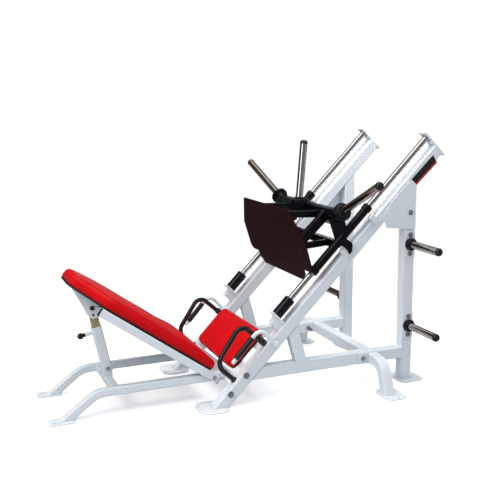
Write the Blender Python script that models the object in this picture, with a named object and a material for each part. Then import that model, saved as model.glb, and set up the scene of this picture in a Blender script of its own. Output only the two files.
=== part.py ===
"""Leg press machine, 45 degree incline, carriage with three weight horns.

Metres, +Z up.  +X runs from the head of the backrest toward the weight
storage uprights, +Y is the sitter's left.  The origin is on the floor in the
middle of the footprint.

Three helpers place points: at() in level coordinates measured from the lower
end of the guide rods, incline() along the rods, on_back() along the backrest.
"""
import bpy
import bmesh
import math
from mathutils import Vector, Matrix

# ------------------------------------------------------- shared dimensions
GAP = 0.0003                 # running gap between neighbouring pieces
X_SHIFT = 0.1045             # foot of the guide rods -> middle of footprint
SIDES = ((1, "left"), (-1, "right"))

TUBE = 0.076                 # big square tube
RAIL_Y = 0.390               # half spacing of the two inclined rails
RAIL_INNER = RAIL_Y - TUBE / 2 - GAP     # clear of the rails' inner faces
RAIL_OUTER = RAIL_Y + TUBE / 2 + GAP     # clear of the rails' outer faces
RAIL_OFF = -0.105            # rail centre below the rod axis
RAIL_TOP = 1.495             # rail length up the incline from the rod foot
END_PLATE = RAIL_TOP - 0.002             # lower face of the rail end plate
ROD_Z = 0.535                # height of the rod axis at its lower end
ROD_R = 0.019
BUMPER_R = 0.035
BUMPER_LENGTH = 0.134
HORN_R = 0.0241              # weight horn for 50 mm bored plates
HORN_CAP_R = HORN_R + 0.001
HORN_CAP_BEVEL = 0.014
BOLT_R = 0.008
BOLT_HOLE_R = BOLT_R + GAP

UPRIGHT_X = 0.928
CROSS_X = 0.665              # cross brace and outriggers
BASE_Z = 0.190               # centre height of the rear base tubes
SIDE_PLATE = 0.008           # plates bolted to the outer side faces
FOOT_THICK = 0.006
FLOOR_CUT = FOOT_THICK / 2   # legs end halfway through their foot plates

FRONT_Y = 0.235              # half spacing of the front base tubes
FRONT_Z = 0.145
FRONT_TUBE = 0.050

LEVER_X, LEVER_Z = -0.030, 0.368         # lock lever pivot
LEVER_Y = 0.452              # half spacing of the lock levers

BACK_PIVOT_X, BACK_PIVOT_Z = -0.377, 0.153
BACK_ANGLE = math.radians(35.5)
BACK_Y = 0.280               # half spacing of backrest side tubes
BACK_TUBE = 0.050            # depth of the side tubes
POST_X, POST_Z = -0.985, 0.216           # support post lower pivot
POST_TOP_ALONG = 0.825       # upper pivot along the backrest
POST_TOP_OFF = -0.0275       # upper pivot below the backrest centre line

# --------------------------------------------------------------- directions
DIAGONAL = math.sqrt(0.5)
X_AXIS = Vector((1, 0, 0))
Y_AXIS = Vector((0, 1, 0))
Z_AXIS = Vector((0, 0, 1))
RAIL_DIR = Vector((DIAGONAL, 0, DIAGONAL))
RAIL_NORMAL = Vector((-DIAGONAL, 0, DIAGONAL))
BACK_DIR = Vector((-math.cos(BACK_ANGLE), 0, math.sin(BACK_ANGLE)))
BACK_NORMAL = Vector((math.sin(BACK_ANGLE), 0, math.cos(BACK_ANGLE)))

# ---------------------------------------------------------------- materials
WHITE = dict(color=(0.86, 0.88, 0.90), metallic=0.0, roughness=0.3)
BLACK = dict(color=(0.02, 0.02, 0.022), metallic=0.0, roughness=0.4)
CHROME = dict(color=(0.75, 0.75, 0.76), metallic=1.0, roughness=0.12)
RUBBER = dict(color=(0.015, 0.015, 0.015), metallic=0.0, roughness=0.7)
RED = dict(color=(0.68, 0.012, 0.016), metallic=0.0, roughness=0.4)
GOLD = dict(color=(0.55, 0.42, 0.16), metallic=1.0, roughness=0.35)
STEEL = dict(color=(0.45, 0.46, 0.47), metallic=1.0, roughness=0.35)

for old in list(bpy.data.objects):
    bpy.data.objects.remove(old, do_unlink=True)
for block in (bpy.data.meshes, bpy.data.materials, bpy.data.curves):
    for item in list(block):
        block.remove(item)

scene = bpy.context.scene
parts = bpy.data.collections.new("leg_press_machine")
scene.collection.children.link(parts)


# ------------------------------------------------------------------- points
def at(x, y, z):
    """World point from rod-foot coordinates."""
    return Vector((x + X_SHIFT, y, z))


def incline(along, off, y):
    """Point on the incline: along the rod axis, off square to it."""
    return at((along - off) * DIAGONAL, y, ROD_Z + (along + off) * DIAGONAL)


def on_back(along, off, y):
    """Point on the backrest: along toward the head, off square to it."""
    cos, sin = math.cos(BACK_ANGLE), math.sin(BACK_ANGLE)
    return at(BACK_PIVOT_X - along * cos + off * sin, y,
              BACK_PIVOT_Z + along * sin + off * cos)


def span(side, near, far):
    """Low-high pair of y values for one side."""
    return sorted((side * near, side * far))


# ------------------------------------------------------------------- solids
def material(name, color, metallic, roughness):
    mat = bpy.data.materials.new(name)
    mat.use_nodes = True
    shader = mat.node_tree.nodes["Principled BSDF"]
    shader.inputs["Base Color"].default_value = (*color, 1.0)
    shader.inputs["Metallic"].default_value = metallic
    shader.inputs["Roughness"].default_value = roughness
    return mat


def blank(bm):
    """Turn a bmesh into an unnamed object."""
    bmesh.ops.remove_doubles(bm, verts=bm.verts, dist=1e-6)
    bmesh.ops.recalc_face_normals(bm, faces=bm.faces)
    mesh = bpy.data.meshes.new("blank")
    bm.to_mesh(mesh)
    bm.free()
    ob = bpy.data.objects.new("blank", mesh)
    parts.objects.link(ob)
    return ob


def open_mesh(ob):
    bm = bmesh.new()
    bm.from_mesh(ob.data)
    return bm


def close_mesh(bm, ob):
    bm.to_mesh(ob.data)
    bm.free()


def aim(origin, start, end, up):
    """Matrix taking local z to start-end and local y to the up side."""
    z = (end - start).normalized()
    y = (up - z * up.dot(z)).normalized()
    matrix = Matrix((y.cross(z), y, z)).transposed().to_4x4()
    matrix.translation = origin
    return matrix


def beam(start, end, width, depth, up, bevel=0.006):
    """Square bar: width along (up x axis), depth along up."""
    bm = bmesh.new()
    bmesh.ops.create_cube(bm, size=1.0)
    length = (end - start).length
    for vert in bm.verts:
        vert.co = Vector((vert.co.x * width, vert.co.y * depth,
                          (vert.co.z + 0.5) * length))
    if bevel > 0:
        long_edges = [e for e in bm.edges
                      if abs(e.verts[0].co.z - e.verts[1].co.z) > length * 0.5]
        bmesh.ops.bevel(bm, geom=long_edges, offset=bevel, segments=1,
                        affect="EDGES", profile=0.5)
    bmesh.ops.transform(bm, matrix=aim(start, start, end, up), verts=bm.verts)
    return blank(bm)


def level_box(x0, x1, y0, y1, z0, z1):
    y, z = (y0 + y1) / 2, (z0 + z1) / 2
    return beam(at(x0, y, z), at(x1, y, z), y1 - y0, z1 - z0, Z_AXIS, 0)


def incline_box(along0, along1, off0, off1, y0, y1):
    y, off = (y0 + y1) / 2, (off0 + off1) / 2
    return beam(incline(along0, off, y), incline(along1, off, y),
                y1 - y0, off1 - off0, RAIL_NORMAL, 0)


def cylinder(start, end, radius, segments=24, bevel=0.0):
    """Cylinder, with the rim at its end bevelled if asked."""
    bm = bmesh.new()
    length = (end - start).length
    bmesh.ops.create_cone(bm, cap_ends=True, segments=segments,
                          radius1=radius, radius2=radius, depth=length)
    if bevel > 0:
        rim = [e for e in bm.edges if all(v.co.z > length * 0.49 for v in e.verts)]
        bmesh.ops.bevel(bm, geom=rim, offset=bevel, segments=2,
                        affect="EDGES", profile=0.5)
    steep = abs((end - start).normalized().z) > 0.9
    matrix = aim((start + end) / 2, start, end, X_AXIS if steep else Z_AXIS)
    bmesh.ops.transform(bm, matrix=matrix, verts=bm.verts)
    return blank(bm)


def cross_cylinder(x, z, y0, y1, radius, segments=24, bevel=0.0):
    """Cylinder lying along y."""
    return cylinder(at(x, y0, z), at(x, y1, z), radius, segments, bevel)


def ring(start, end, radius, bore, segments, bore_segments, bevel):
    """Cylinder bored right through."""
    over = (end - start).normalized() * 0.02
    return minus(cylinder(start, end, radius, segments, bevel),
                 cylinder(start - over, end + over, bore, bore_segments))


def ball(centre, radius):
    bm = bmesh.new()
    bmesh.ops.create_uvsphere(bm, u_segments=14, v_segments=8, radius=radius)
    bmesh.ops.translate(bm, vec=centre, verts=bm.verts)
    return blank(bm)


def loft(rings):
    """Closed solid through equal rings of points, ends capped."""
    bm = bmesh.new()
    rows = [[bm.verts.new(point) for point in points] for points in rings]
    count = len(rows[0])
    for row, after in zip(rows, rows[1:]):
        for i in range(count):
            j = (i + 1) % count
            bm.faces.new((row[i], row[j], after[j], after[i]))
    bm.faces.new(list(reversed(rows[0])))
    bm.faces.new(rows[-1])
    return blank(bm)


def chamfered_square(width, chamfer):
    """Square tube section with cut corners."""
    points = []
    for cx, cy, start in ((1, 1, 0), (-1, 1, 90), (-1, -1, 180), (1, -1, 270)):
        for degrees in (start, start + 90):
            angle = math.radians(degrees)
            points.append((cx * (width / 2 - chamfer) + chamfer * math.cos(angle),
                           cy * (width / 2 - chamfer) + chamfer * math.sin(angle)))
    return points


def circle(radius, count):
    return [(radius * math.cos(2 * math.pi * k / count),
             radius * math.sin(2 * math.pi * k / count)) for k in range(count)]


def angle_between(first, second):
    return math.acos(max(-1.0, min(1.0, first.dot(second))))


def corner_arc(before, corner, after, radius, steps):
    """Points of the arc that rounds a corner."""
    back = (before - corner).normalized()
    ahead = (after - corner).normalized()
    half = angle_between(back, ahead) / 2
    setback = radius / math.tan(half)
    centre = corner + (back + ahead).normalized() * (radius / math.sin(half))
    first = corner + back * setback - centre
    last = corner + ahead * setback - centre
    turn = angle_between(first.normalized(), last.normalized())
    return [centre + (first * math.sin((1 - k / steps) * turn)
                      + last * math.sin(k / steps * turn)) / math.sin(turn)
            for k in range(steps + 1)]


def fillet_path(points, radii, steps):
    """Open polyline with its inner corners rounded."""
    path = [points[0]]
    for i, radius in enumerate(radii):
        path += corner_arc(*points[i:i + 3], radius, steps)
    return path + [points[-1]]


def round_corners(corners, steps):
    """Closed outline from rows of (x, y, corner radius)."""
    points = [Vector((x, y, 0)) for x, y, _ in corners]
    outline = []
    for i, (x, y, radius) in enumerate(corners):
        if radius > 0:
            after = points[(i + 1) % len(points)]
            arc = corner_arc(points[i - 1], points[i], after, radius, steps)
            outline += [(p.x, p.y) for p in arc]
        else:
            outline.append((x, y))
    return outline


def rounded_rectangle(width, depth, radius):
    return round_corners([(width / 2, -depth / 2, radius), (width / 2, depth / 2, radius),
                          (-width / 2, depth / 2, radius),
                          (-width / 2, -depth / 2, radius)], 6)


def sweep(path, profile, normal):
    """Sweep a 2D profile along a path lying in the plane with this normal."""
    rings = []
    for i, point in enumerate(path):
        before = path[max(i - 1, 0)]
        after = path[min(i + 1, len(path) - 1)]
        if 0 < i < len(path) - 1:
            tangent = ((point - before).normalized()
                       + (after - point).normalized()).normalized()
        else:
            tangent = (after - before).normalized()
        across = tangent.cross(normal).normalized()
        rings.append([point + normal * u + across * v for u, v in profile])
    return loft(rings)


def plate(outline, thickness, centre, x_dir, y_dir):
    """Flat outline thickened half each way about the plane x_dir, y_dir."""
    curve = bpy.data.curves.new("outline", "CURVE")
    curve.dimensions = "2D"
    curve.fill_mode = "BOTH"
    curve.extrude = thickness / 2
    spline = curve.splines.new("POLY")
    spline.points.add(len(outline) - 1)
    for point, (x, y) in zip(spline.points, outline):
        point.co = (x, y, 0, 1)
    spline.use_cyclic_u = True
    ob = bpy.data.objects.new("outline", curve)
    scene.collection.objects.link(ob)
    depsgraph = bpy.context.evaluated_depsgraph_get()
    mesh = bpy.data.meshes.new_from_object(ob.evaluated_get(depsgraph))
    bpy.data.objects.remove(ob, do_unlink=True)
    bm = bmesh.new()
    bm.from_mesh(mesh)
    bpy.data.meshes.remove(mesh)
    bmesh.ops.remove_doubles(bm, verts=bm.verts, dist=1e-5)
    matrix = Matrix((x_dir, y_dir, x_dir.cross(y_dir))).transposed().to_4x4()
    matrix.translation = centre
    bmesh.ops.transform(bm, matrix=matrix, verts=bm.verts)
    return blank(bm)


def cut(ob, point, normal):
    """Cut off whatever lies on the side the normal points to."""
    bm = open_mesh(ob)
    geom = bm.verts[:] + bm.edges[:] + bm.faces[:]
    result = bmesh.ops.bisect_plane(bm, geom=geom, plane_co=point, plane_no=normal,
                                    clear_outer=True, dist=1e-7)
    edges = [g for g in result["geom_cut"] if isinstance(g, bmesh.types.BMEdge)]
    bmesh.ops.edgeloop_fill(bm, edges=edges)
    bmesh.ops.recalc_face_normals(bm, faces=bm.faces)
    close_mesh(bm, ob)


def cut_at_floor(ob):
    cut(ob, at(0, 0, FLOOR_CUT), -Z_AXIS)


def cut_under_rail(ob):
    cut(ob, incline(0, RAIL_OFF - TUBE / 2 - GAP, 0), RAIL_NORMAL)


def boolean(ob, other, operation):
    """Combine other into ob and discard other."""
    mod = ob.modifiers.new("b", "BOOLEAN")
    mod.operation = operation
    mod.solver = "EXACT"
    mod.object = other
    depsgraph = bpy.context.evaluated_depsgraph_get()
    mesh = bpy.data.meshes.new_from_object(ob.evaluated_get(depsgraph))
    ob.modifiers.clear()
    old_mesh = ob.data
    ob.data = mesh
    bpy.data.meshes.remove(old_mesh)
    bpy.data.objects.remove(other, do_unlink=True)


def union(ob, *others):
    for other in others:
        boolean(ob, other, "UNION")
    return ob


def minus(ob, *others):
    for other in others:
        boolean(ob, other, "DIFFERENCE")
    return ob


def soften_top(ob, top_point, normal):
    """Round the rim of the face through top_point."""
    bm = open_mesh(ob)
    limit = top_point.dot(normal) - 0.001
    rim = [e for e in bm.edges if all(v.co.dot(normal) > limit for v in e.verts)
           and len(e.link_faces) == 2 and e.calc_face_angle(0) > 1.0]
    bmesh.ops.bevel(bm, geom=rim, offset=0.014, segments=3, affect="EDGES",
                    profile=0.5)
    close_mesh(bm, ob)


def finish(ob, name, look, origin=None):
    """Clean the mesh, then set name, material and origin."""
    bm = open_mesh(ob)
    bmesh.ops.remove_doubles(bm, verts=bm.verts, dist=2e-6)
    bmesh.ops.dissolve_degenerate(bm, edges=bm.edges, dist=1e-6)
    bmesh.ops.recalc_face_normals(bm, faces=bm.faces)
    close_mesh(bm, ob)
    ob.name = name
    ob.data.name = name
    ob.data.materials.clear()
    ob.data.materials.append(material(name + "_mat", **look))
    if origin is not None:
        ob.data.transform(Matrix.Translation(-origin))
        ob.location = origin


def foot_pad(x, y, length, width, corner, hole_x, hole_y):
    """Rounded foot plate on the floor with one anchor hole."""
    pad = plate(rounded_rectangle(length, width, corner), FOOT_THICK,
                at(x, y, FOOT_THICK / 2), X_AXIS, Y_AXIS)
    return minus(pad, cylinder(at(hole_x, hole_y, -0.01), at(hole_x, hole_y, 0.02),
                               radius=0.007, segments=12))


# --------------------------------------------------------------- front base
# x, z, corner radius, from the post pivot's x and the height EAR_FOOT_Z
EAR_FOOT_Z = 0.150
EAR_CORNERS = [(-0.030, 0, 0), (0.030, 0, 0), (0.030, 0.062, 0.01),
               (0, 0.090, 0.02), (-0.030, 0.062, 0.01)]
EAR_INNER, EAR_THICK = 0.0306, 0.006


def front_leg(side):
    """Long tube bent down to the floor at the head end, on its foot pad."""
    y = side * FRONT_Y
    path = fillet_path([at(-0.262, y, FRONT_Z), at(-1.095, y, FRONT_Z),
                        at(-1.335, y, -0.030)], [0.16], 5)
    leg = sweep(path, chamfered_square(FRONT_TUBE, 0.006), Y_AXIS)
    cut_at_floor(leg)
    pad = foot_pad(x=-1.312, y=side * (FRONT_Y + 0.008), length=0.150, width=0.105,
                   corner=0.012, hole_x=-1.360, hole_y=side * (FRONT_Y + 0.030))
    return union(leg, pad)


def front_base():
    base = front_leg(-1)
    # cross tube under the post, then the one between the rails
    union(base, front_leg(1),
          beam(at(POST_X, -FRONT_Y, FRONT_Z), at(POST_X, FRONT_Y, FRONT_Z),
               FRONT_TUBE, FRONT_TUBE - 0.002, Z_AXIS),
          beam(incline(-0.477, RAIL_OFF, -RAIL_INNER),
               incline(-0.477, RAIL_OFF, RAIL_INNER), 0.070, 0.058, RAIL_NORMAL))
    for side in (-1, 1):
        y = side * (EAR_INNER + EAR_THICK / 2)
        union(base, plate(round_corners(EAR_CORNERS, 4), EAR_THICK,
                          at(POST_X, y, EAR_FOOT_Z), X_AXIS, Z_AXIS))
    minus(base, cross_cylinder(POST_X, POST_Z, -0.06, 0.06, BOLT_HOLE_R),
          cross_cylinder(BACK_PIVOT_X, BACK_PIVOT_Z, -0.29, 0.29, BOLT_HOLE_R))
    finish(base, "front_base", WHITE)


# ----------------------------------------------------------- inclined rails
def inclined_rail(side, tag):
    y = side * RAIL_Y
    rail = beam(incline(-0.80, RAIL_OFF, y), incline(RAIL_TOP, RAIL_OFF, y),
                TUBE, TUBE, RAIL_NORMAL)
    cut_at_floor(rail)
    union(rail, foot_pad(x=-0.432, y=y, length=0.185, width=0.215, corner=0.060,
                         hole_x=-0.505, hole_y=y - side * 0.045))
    # end plate that holds the upper rod end
    plate_half, stand_half = 0.036, 0.028
    union(rail, incline_box(END_PLATE, END_PLATE + 0.010, -0.163, 0.045,
                            y - plate_half, y + plate_half))
    # bumper seat: plate square to the rod on a short stand
    union(rail,
          incline_box(-0.0133, -GAP, -0.075, 0.052, y - plate_half, y + plate_half),
          incline_box(-0.066, -0.006, -0.075, 0.004, y - stand_half, y + stand_half))
    # catch lugs on the outer side face
    for along in (0.575, 0.860):
        union(rail,
              incline_box(along - 0.019, along + 0.019, -0.098, -0.036,
                          *span(side, 0.420, 0.4375)),
              incline_box(along - 0.018, along + 0.018, -0.072, -0.037,
                          *span(side, 0.405, 0.4365)))
    # stud the lock lever turns on
    union(rail, cross_cylinder(LEVER_X, LEVER_Z, *span(side, 0.400, 0.4760),
                               radius=BOLT_R, segments=20))
    finish(rail, "rail_" + tag, WHITE)


# --------------------------------------------------------- rear side frames
# x, z, corner radius
GUSSET_CORNERS = [(0.752, 1.034, 0.012), (0.965, 1.010, 0.008), (0.965, 1.300, 0.02),
                  (0.925, 1.335, 0.01), (0.780, 1.195, 0.02), (0.724, 1.102, 0.012)]
GUSSET_THICK = 0.006


def side_frame(side, tag):
    """Base tube, upright and slanted brace, all ending under the rail."""
    y = side * RAIL_Y
    frame = beam(at(-0.35, y, BASE_Z), at(UPRIGHT_X, y, BASE_Z),
                 TUBE - 0.002, TUBE, Z_AXIS)
    cut_under_rail(frame)
    upright = beam(at(UPRIGHT_X, y, FLOOR_CUT), at(UPRIGHT_X, y, 1.5),
                   TUBE, TUBE, X_AXIS)
    cut_under_rail(upright)
    union(frame, upright)
    brace = beam(at(0.172, y, 0.180), at(0.075, y, 0.53),
                 TUBE - 0.004, TUBE - 0.004, X_AXIS)
    cut_under_rail(brace)
    union(frame, brace)
    union(frame, foot_pad(x=0.950, y=y, length=0.180, width=0.205, corner=0.055,
                          hole_x=1.005, hole_y=y - side * 0.055))
    finish(frame, "side_frame_" + tag, WHITE)


def gusset(side, tag):
    """Plate bolted over rail and upright, with one hexagon head."""
    body = plate(round_corners(GUSSET_CORNERS, 3), GUSSET_THICK,
                 at(0, side * (RAIL_OUTER + GUSSET_THICK / 2), 0), X_AXIS, Z_AXIS)
    union(body, cross_cylinder(0.926, 1.122, side * 0.430, side * 0.443,
                               radius=0.0120, segments=6))
    finish(body, "gusset_" + tag, WHITE)


def cross_brace():
    """Rear cross tube with an end plate and hexagon head at each rail."""
    brace = beam(at(CROSS_X, -RAIL_INNER, BASE_Z), at(CROSS_X, RAIL_INNER, BASE_Z),
                 TUBE - 0.006, TUBE - 0.003, Z_AXIS)
    plate_half, bolt_x = 0.0345, CROSS_X - 0.075
    for side in (-1, 1):
        union(brace,
              level_box(CROSS_X - 0.170, CROSS_X + 0.020,
                        *span(side, 0.341, RAIL_INNER),
                        BASE_Z - plate_half, BASE_Z + plate_half),
              cross_cylinder(bolt_x, BASE_Z, side * 0.345, side * 0.332,
                             radius=0.012, segments=6))
    finish(brace, "cross_brace", WHITE)


def outrigger(side, tag):
    """Leg bent outward and down from the side frame."""
    path = fillet_path([at(CROSS_X, side * 0.4330, BASE_Z),
                        at(CROSS_X, side * 0.560, BASE_Z - 0.012),
                        at(CROSS_X, side * 0.628, -0.02)], [0.085], 4)
    leg = sweep(path, chamfered_square(0.068, 0.006), X_AXIS)
    cut_at_floor(leg)
    plate_half = 0.037
    union(leg,
          level_box(CROSS_X - 0.110, CROSS_X + 0.045,
                    *span(side, RAIL_OUTER, RAIL_OUTER + SIDE_PLATE),
                    BASE_Z - plate_half, BASE_Z + plate_half),
          cross_cylinder(CROSS_X - 0.070, BASE_Z, side * 0.432, side * 0.446,
                         radius=0.012, segments=6),
          foot_pad(x=CROSS_X + 0.018, y=side * 0.630, length=0.150, width=0.200,
                   corner=0.055, hole_x=CROSS_X + 0.030, hole_y=side * 0.700))
    finish(leg, "outrigger_" + tag, WHITE)


# ------------------------------------------------------------ storage horns
STORAGE_HEIGHTS = (("upper", 0.916), ("lower", 0.374))
STORAGE_HORN_END = 0.738     # |y| where the chrome horn meets its cap
STORAGE_CAP_END = 0.762
STORAGE_COLLAR_END = 0.4665


def storage_horn(side, name, z):
    """Bolted plate, horn, collar and end cap on an upright's outer face."""
    half_width, half_height, bolt_offset = 0.034, 0.088, 0.062
    face = RAIL_OUTER + SIDE_PLATE
    body = level_box(UPRIGHT_X - half_width, UPRIGHT_X + half_width,
                     *span(side, RAIL_OUTER, face), z - half_height, z + half_height)
    for offset in (-bolt_offset, bolt_offset):
        union(body, cross_cylinder(UPRIGHT_X, z + offset, side * 0.433, side * 0.446,
                                   radius=0.0115, segments=6))
    finish(body, "storage_plate_" + name, WHITE)
    start, end = side * (face + GAP), side * STORAGE_HORN_END
    finish(cross_cylinder(UPRIGHT_X, z, start, end, HORN_R),
           "storage_horn_" + name, CHROME)
    collar = ring(at(UPRIGHT_X, start, z), at(UPRIGHT_X, side * STORAGE_COLLAR_END, z),
                  radius=0.0415, bore=HORN_R + GAP, segments=20, bore_segments=24,
                  bevel=0.004)
    finish(collar, "storage_collar_" + name, RUBBER)
    cap = cross_cylinder(UPRIGHT_X, z, end + side * GAP, side * STORAGE_CAP_END,
                         HORN_CAP_R, bevel=HORN_CAP_BEVEL)
    finish(cap, "storage_cap_" + name, RUBBER)


def guide_rod(side, tag):
    """Chrome rod with a rubber bumper round its lower end."""
    y = side * RAIL_Y
    foot = incline(0, 0, y)
    finish(cylinder(foot, incline(END_PLATE - GAP, 0, y), ROD_R, 28),
           "guide_rod_" + tag, CHROME)
    bumper = ring(foot, incline(BUMPER_LENGTH, 0, y), BUMPER_R, bore=ROD_R + GAP,
                  segments=28, bore_segments=28, bevel=0.004)
    finish(bumper, "bumper_" + tag, RUBBER)


# --------------------------------------------------------------------- seat
SEAT_START, SEAT_END = -0.428, -0.127    # along the incline
SEAT_WIDTH = 0.612
SEAT_PAD_TOP, SEAT_PAD_BOTTOM = -0.006, -0.0570
SEAT_BOARD_TOP = SEAT_PAD_BOTTOM - GAP
SEAT_BOARD_BOTTOM = SEAT_BOARD_TOP - 0.012
SEAT_FRAME_TOP = SEAT_BOARD_BOTTOM - GAP
SEAT_FRAME_BOTTOM = SEAT_FRAME_TOP - 0.040
SEAT_BARS = (-0.365, -0.215)             # cross bars, along the incline


def seat_slab(inset, bottom, top, corner):
    outline = rounded_rectangle(SEAT_WIDTH - 2 * inset,
                                (SEAT_END - SEAT_START) - 2 * inset, corner)
    centre = incline((SEAT_START + SEAT_END) / 2, (bottom + top) / 2, 0)
    return plate(outline, top - bottom, centre, Y_AXIS, -RAIL_DIR)


def seat():
    pad = seat_slab(0.0, SEAT_PAD_BOTTOM, SEAT_PAD_TOP, corner=0.045)
    soften_top(pad, incline(0, SEAT_PAD_TOP, 0), RAIL_NORMAL)
    finish(pad, "seat_pad", RED)
    finish(seat_slab(0.006, SEAT_BOARD_BOTTOM, SEAT_BOARD_TOP, corner=0.040),
           "seat_board", BLACK)
    # two cross bars joined by two shallower stringers
    bar_half, inset = 0.020, 0.005
    bars = [incline_box(along - bar_half, along + bar_half, SEAT_FRAME_BOTTOM,
                        SEAT_FRAME_TOP, -RAIL_INNER, RAIL_INNER)
            for along in SEAT_BARS]
    frame = union(*bars)
    for y0, y1 in ((-0.060, -0.020), (0.020, 0.060)):
        union(frame, incline_box(*SEAT_BARS, SEAT_FRAME_BOTTOM + inset,
                                 SEAT_FRAME_TOP - inset, y0, y1))
    finish(frame, "seat_frame", WHITE)


# ------------------------------------------------------- handles and levers
def grab_handle(side, tag):
    """Bent round bar standing on top of the rail beside the seat."""
    rail_top = RAIL_OFF + TUBE / 2 + GAP
    y = side * (RAIL_Y - 0.004)
    path = fillet_path([incline(-0.468, rail_top, y), incline(-0.472, 0.088, y),
                        incline(-0.188, 0.146, y), incline(-0.178, rail_top, y)],
                       [0.070, 0.055], 8)
    handle = sweep(path, circle(0.0155, 12), Y_AXIS)
    cut(handle, incline(0, rail_top + 0.0002, 0), -RAIL_NORMAL)
    finish(handle, "grab_handle_" + tag, RUBBER)


def lock_lever(side, tag):
    """Bent lever on the rail stud, with a rubber grip."""
    bar_r = 0.0125
    grip_from_bend, grip_length = 0.078, 0.160
    y = side * LEVER_Y
    pivot, bend, tip = at(LEVER_X, y, LEVER_Z), at(-0.135, y, 0.487), at(-0.312, y, 0.294)
    lever = sweep(fillet_path([pivot, bend, tip], [0.050], 8),
                  circle(bar_r, 12), Y_AXIS)
    union(lever, cross_cylinder(LEVER_X, LEVER_Z, *span(side, 0.4286, 0.4700),
                                radius=0.021))
    minus(lever, cross_cylinder(LEVER_X, LEVER_Z, side * 0.42, side * 0.48,
                                BOLT_HOLE_R, 20))
    finish(lever, "lock_lever_" + tag, WHITE, pivot)
    direction = (tip - bend).normalized()
    start = bend + direction * grip_from_bend
    grip = ring(start, start + direction * grip_length, radius=0.0185,
                bore=bar_r + GAP, segments=24, bore_segments=24, bevel=0.004)
    finish(grip, "lock_grip_" + tag, RUBBER, pivot)


# ----------------------------------------------------------------- carriage
SLEEVE_R = 0.027
SLEEVE_START, SLEEVE_END = 0.345, 0.905  # along the incline
TOP_BAR_X, TOP_BAR_Z = 0.405, 1.142      # upper cross tube
LOW_BAR_X, LOW_BAR_Z = 0.418, 0.947      # lower cross tube

PLATE_LEAN = math.radians(16.5)
PLATE_THICK = 0.008
PLATE_NORMAL = Vector((math.cos(PLATE_LEAN), 0, math.sin(PLATE_LEAN)))  # off the back
PLATE_DOWN = Vector((math.sin(PLATE_LEAN), 0, -math.cos(PLATE_LEAN)))
PLATE_TOP = at(0.091, 0, 1.177)          # top front edge
# distance down the plate, half width, corner radius
PLATE_HALF = [(0.0, 0.352, 0.012), (0.190, 0.482, 0.020), (0.374, 0.476, 0.014),
              (0.397, 0.436, 0.006), (0.397, 0.352, 0.006), (0.437, 0.350, 0.010),
              (0.478, 0.288, 0.015)]
# along and off the incline, corner radius
HOOK_CORNERS = [(0.590, 0.010, 0.004), (0.640, 0.010, 0.004), (0.650, -0.052, 0.008),
                (0.612, -0.088, 0.008), (0.585, -0.088, 0.004), (0.596, -0.060, 0.008)]
HOOK_THICK, HOOK_OUTER = 0.008, 0.4485

CENTRE_HORN_BASE = at(0.345, 0, 1.196)
CENTRE_HORN_LEAN = math.radians(5.2)
SIDE_HORN_DIR = Vector((-0.026, 0.471, 0.208)).normalized()


def side_horn_axis(side):
    """Base point and direction of a side horn."""
    direction = Vector((SIDE_HORN_DIR.x, side * SIDE_HORN_DIR.y, SIDE_HORN_DIR.z))
    return at(0.414, side * 0.448, 1.156), direction


def behind_plate(down, lift, y):
    """Point behind the foot plate: down it, lifted off its back."""
    return (PLATE_TOP + PLATE_NORMAL * (PLATE_THICK + GAP) + PLATE_DOWN * down
            + PLATE_NORMAL * lift + Y_AXIS * y)


def rod_sleeve(side):
    """Sleeve round a guide rod, thicker at both ends."""
    thick, band, step = SLEEVE_R + 0.004, 0.035, 0.001
    stations = ((SLEEVE_START, thick), (SLEEVE_START + band, thick),
                (SLEEVE_START + band + step, SLEEVE_R),
                (SLEEVE_END - band - step, SLEEVE_R),
                (SLEEVE_END - band, thick), (SLEEVE_END, thick))
    return loft([[incline(along, 0, side * RAIL_Y) + Y_AXIS * u + RAIL_NORMAL * v
                  for u, v in circle(radius, 24)] for along, radius in stations])


def carriage_struts(side):
    """Bars of one side between the cross tubes and the foot plate."""
    end_y, outer_y, inner_y = side * 0.372, side * 0.285, side * 0.200
    low_start = behind_plate(0.262, 0.003, outer_y)
    return (
        beam(at(0.462, end_y, 0.985), at(TOP_BAR_X + 0.004, end_y, TOP_BAR_Z),
             0.050, 0.086, X_AXIS, 0.005),
        # strip flat against the plate
        beam(behind_plate(0.055, 0.002, outer_y), behind_plate(0.300, 0.002, outer_y),
             0.070, 0.012, PLATE_NORMAL, 0),
        beam(behind_plate(0.052, 0.003, inner_y), at(TOP_BAR_X, inner_y, 1.119),
             0.040, 0.046, Z_AXIS, 0.005),
        beam(low_start, at(TOP_BAR_X - 0.008, outer_y, TOP_BAR_Z - 0.010),
             0.038, 0.062, Z_AXIS, 0.005),
        beam(low_start, at(LOW_BAR_X, outer_y, LOW_BAR_Z),
             0.036, 0.040, Z_AXIS, 0.005))


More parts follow.
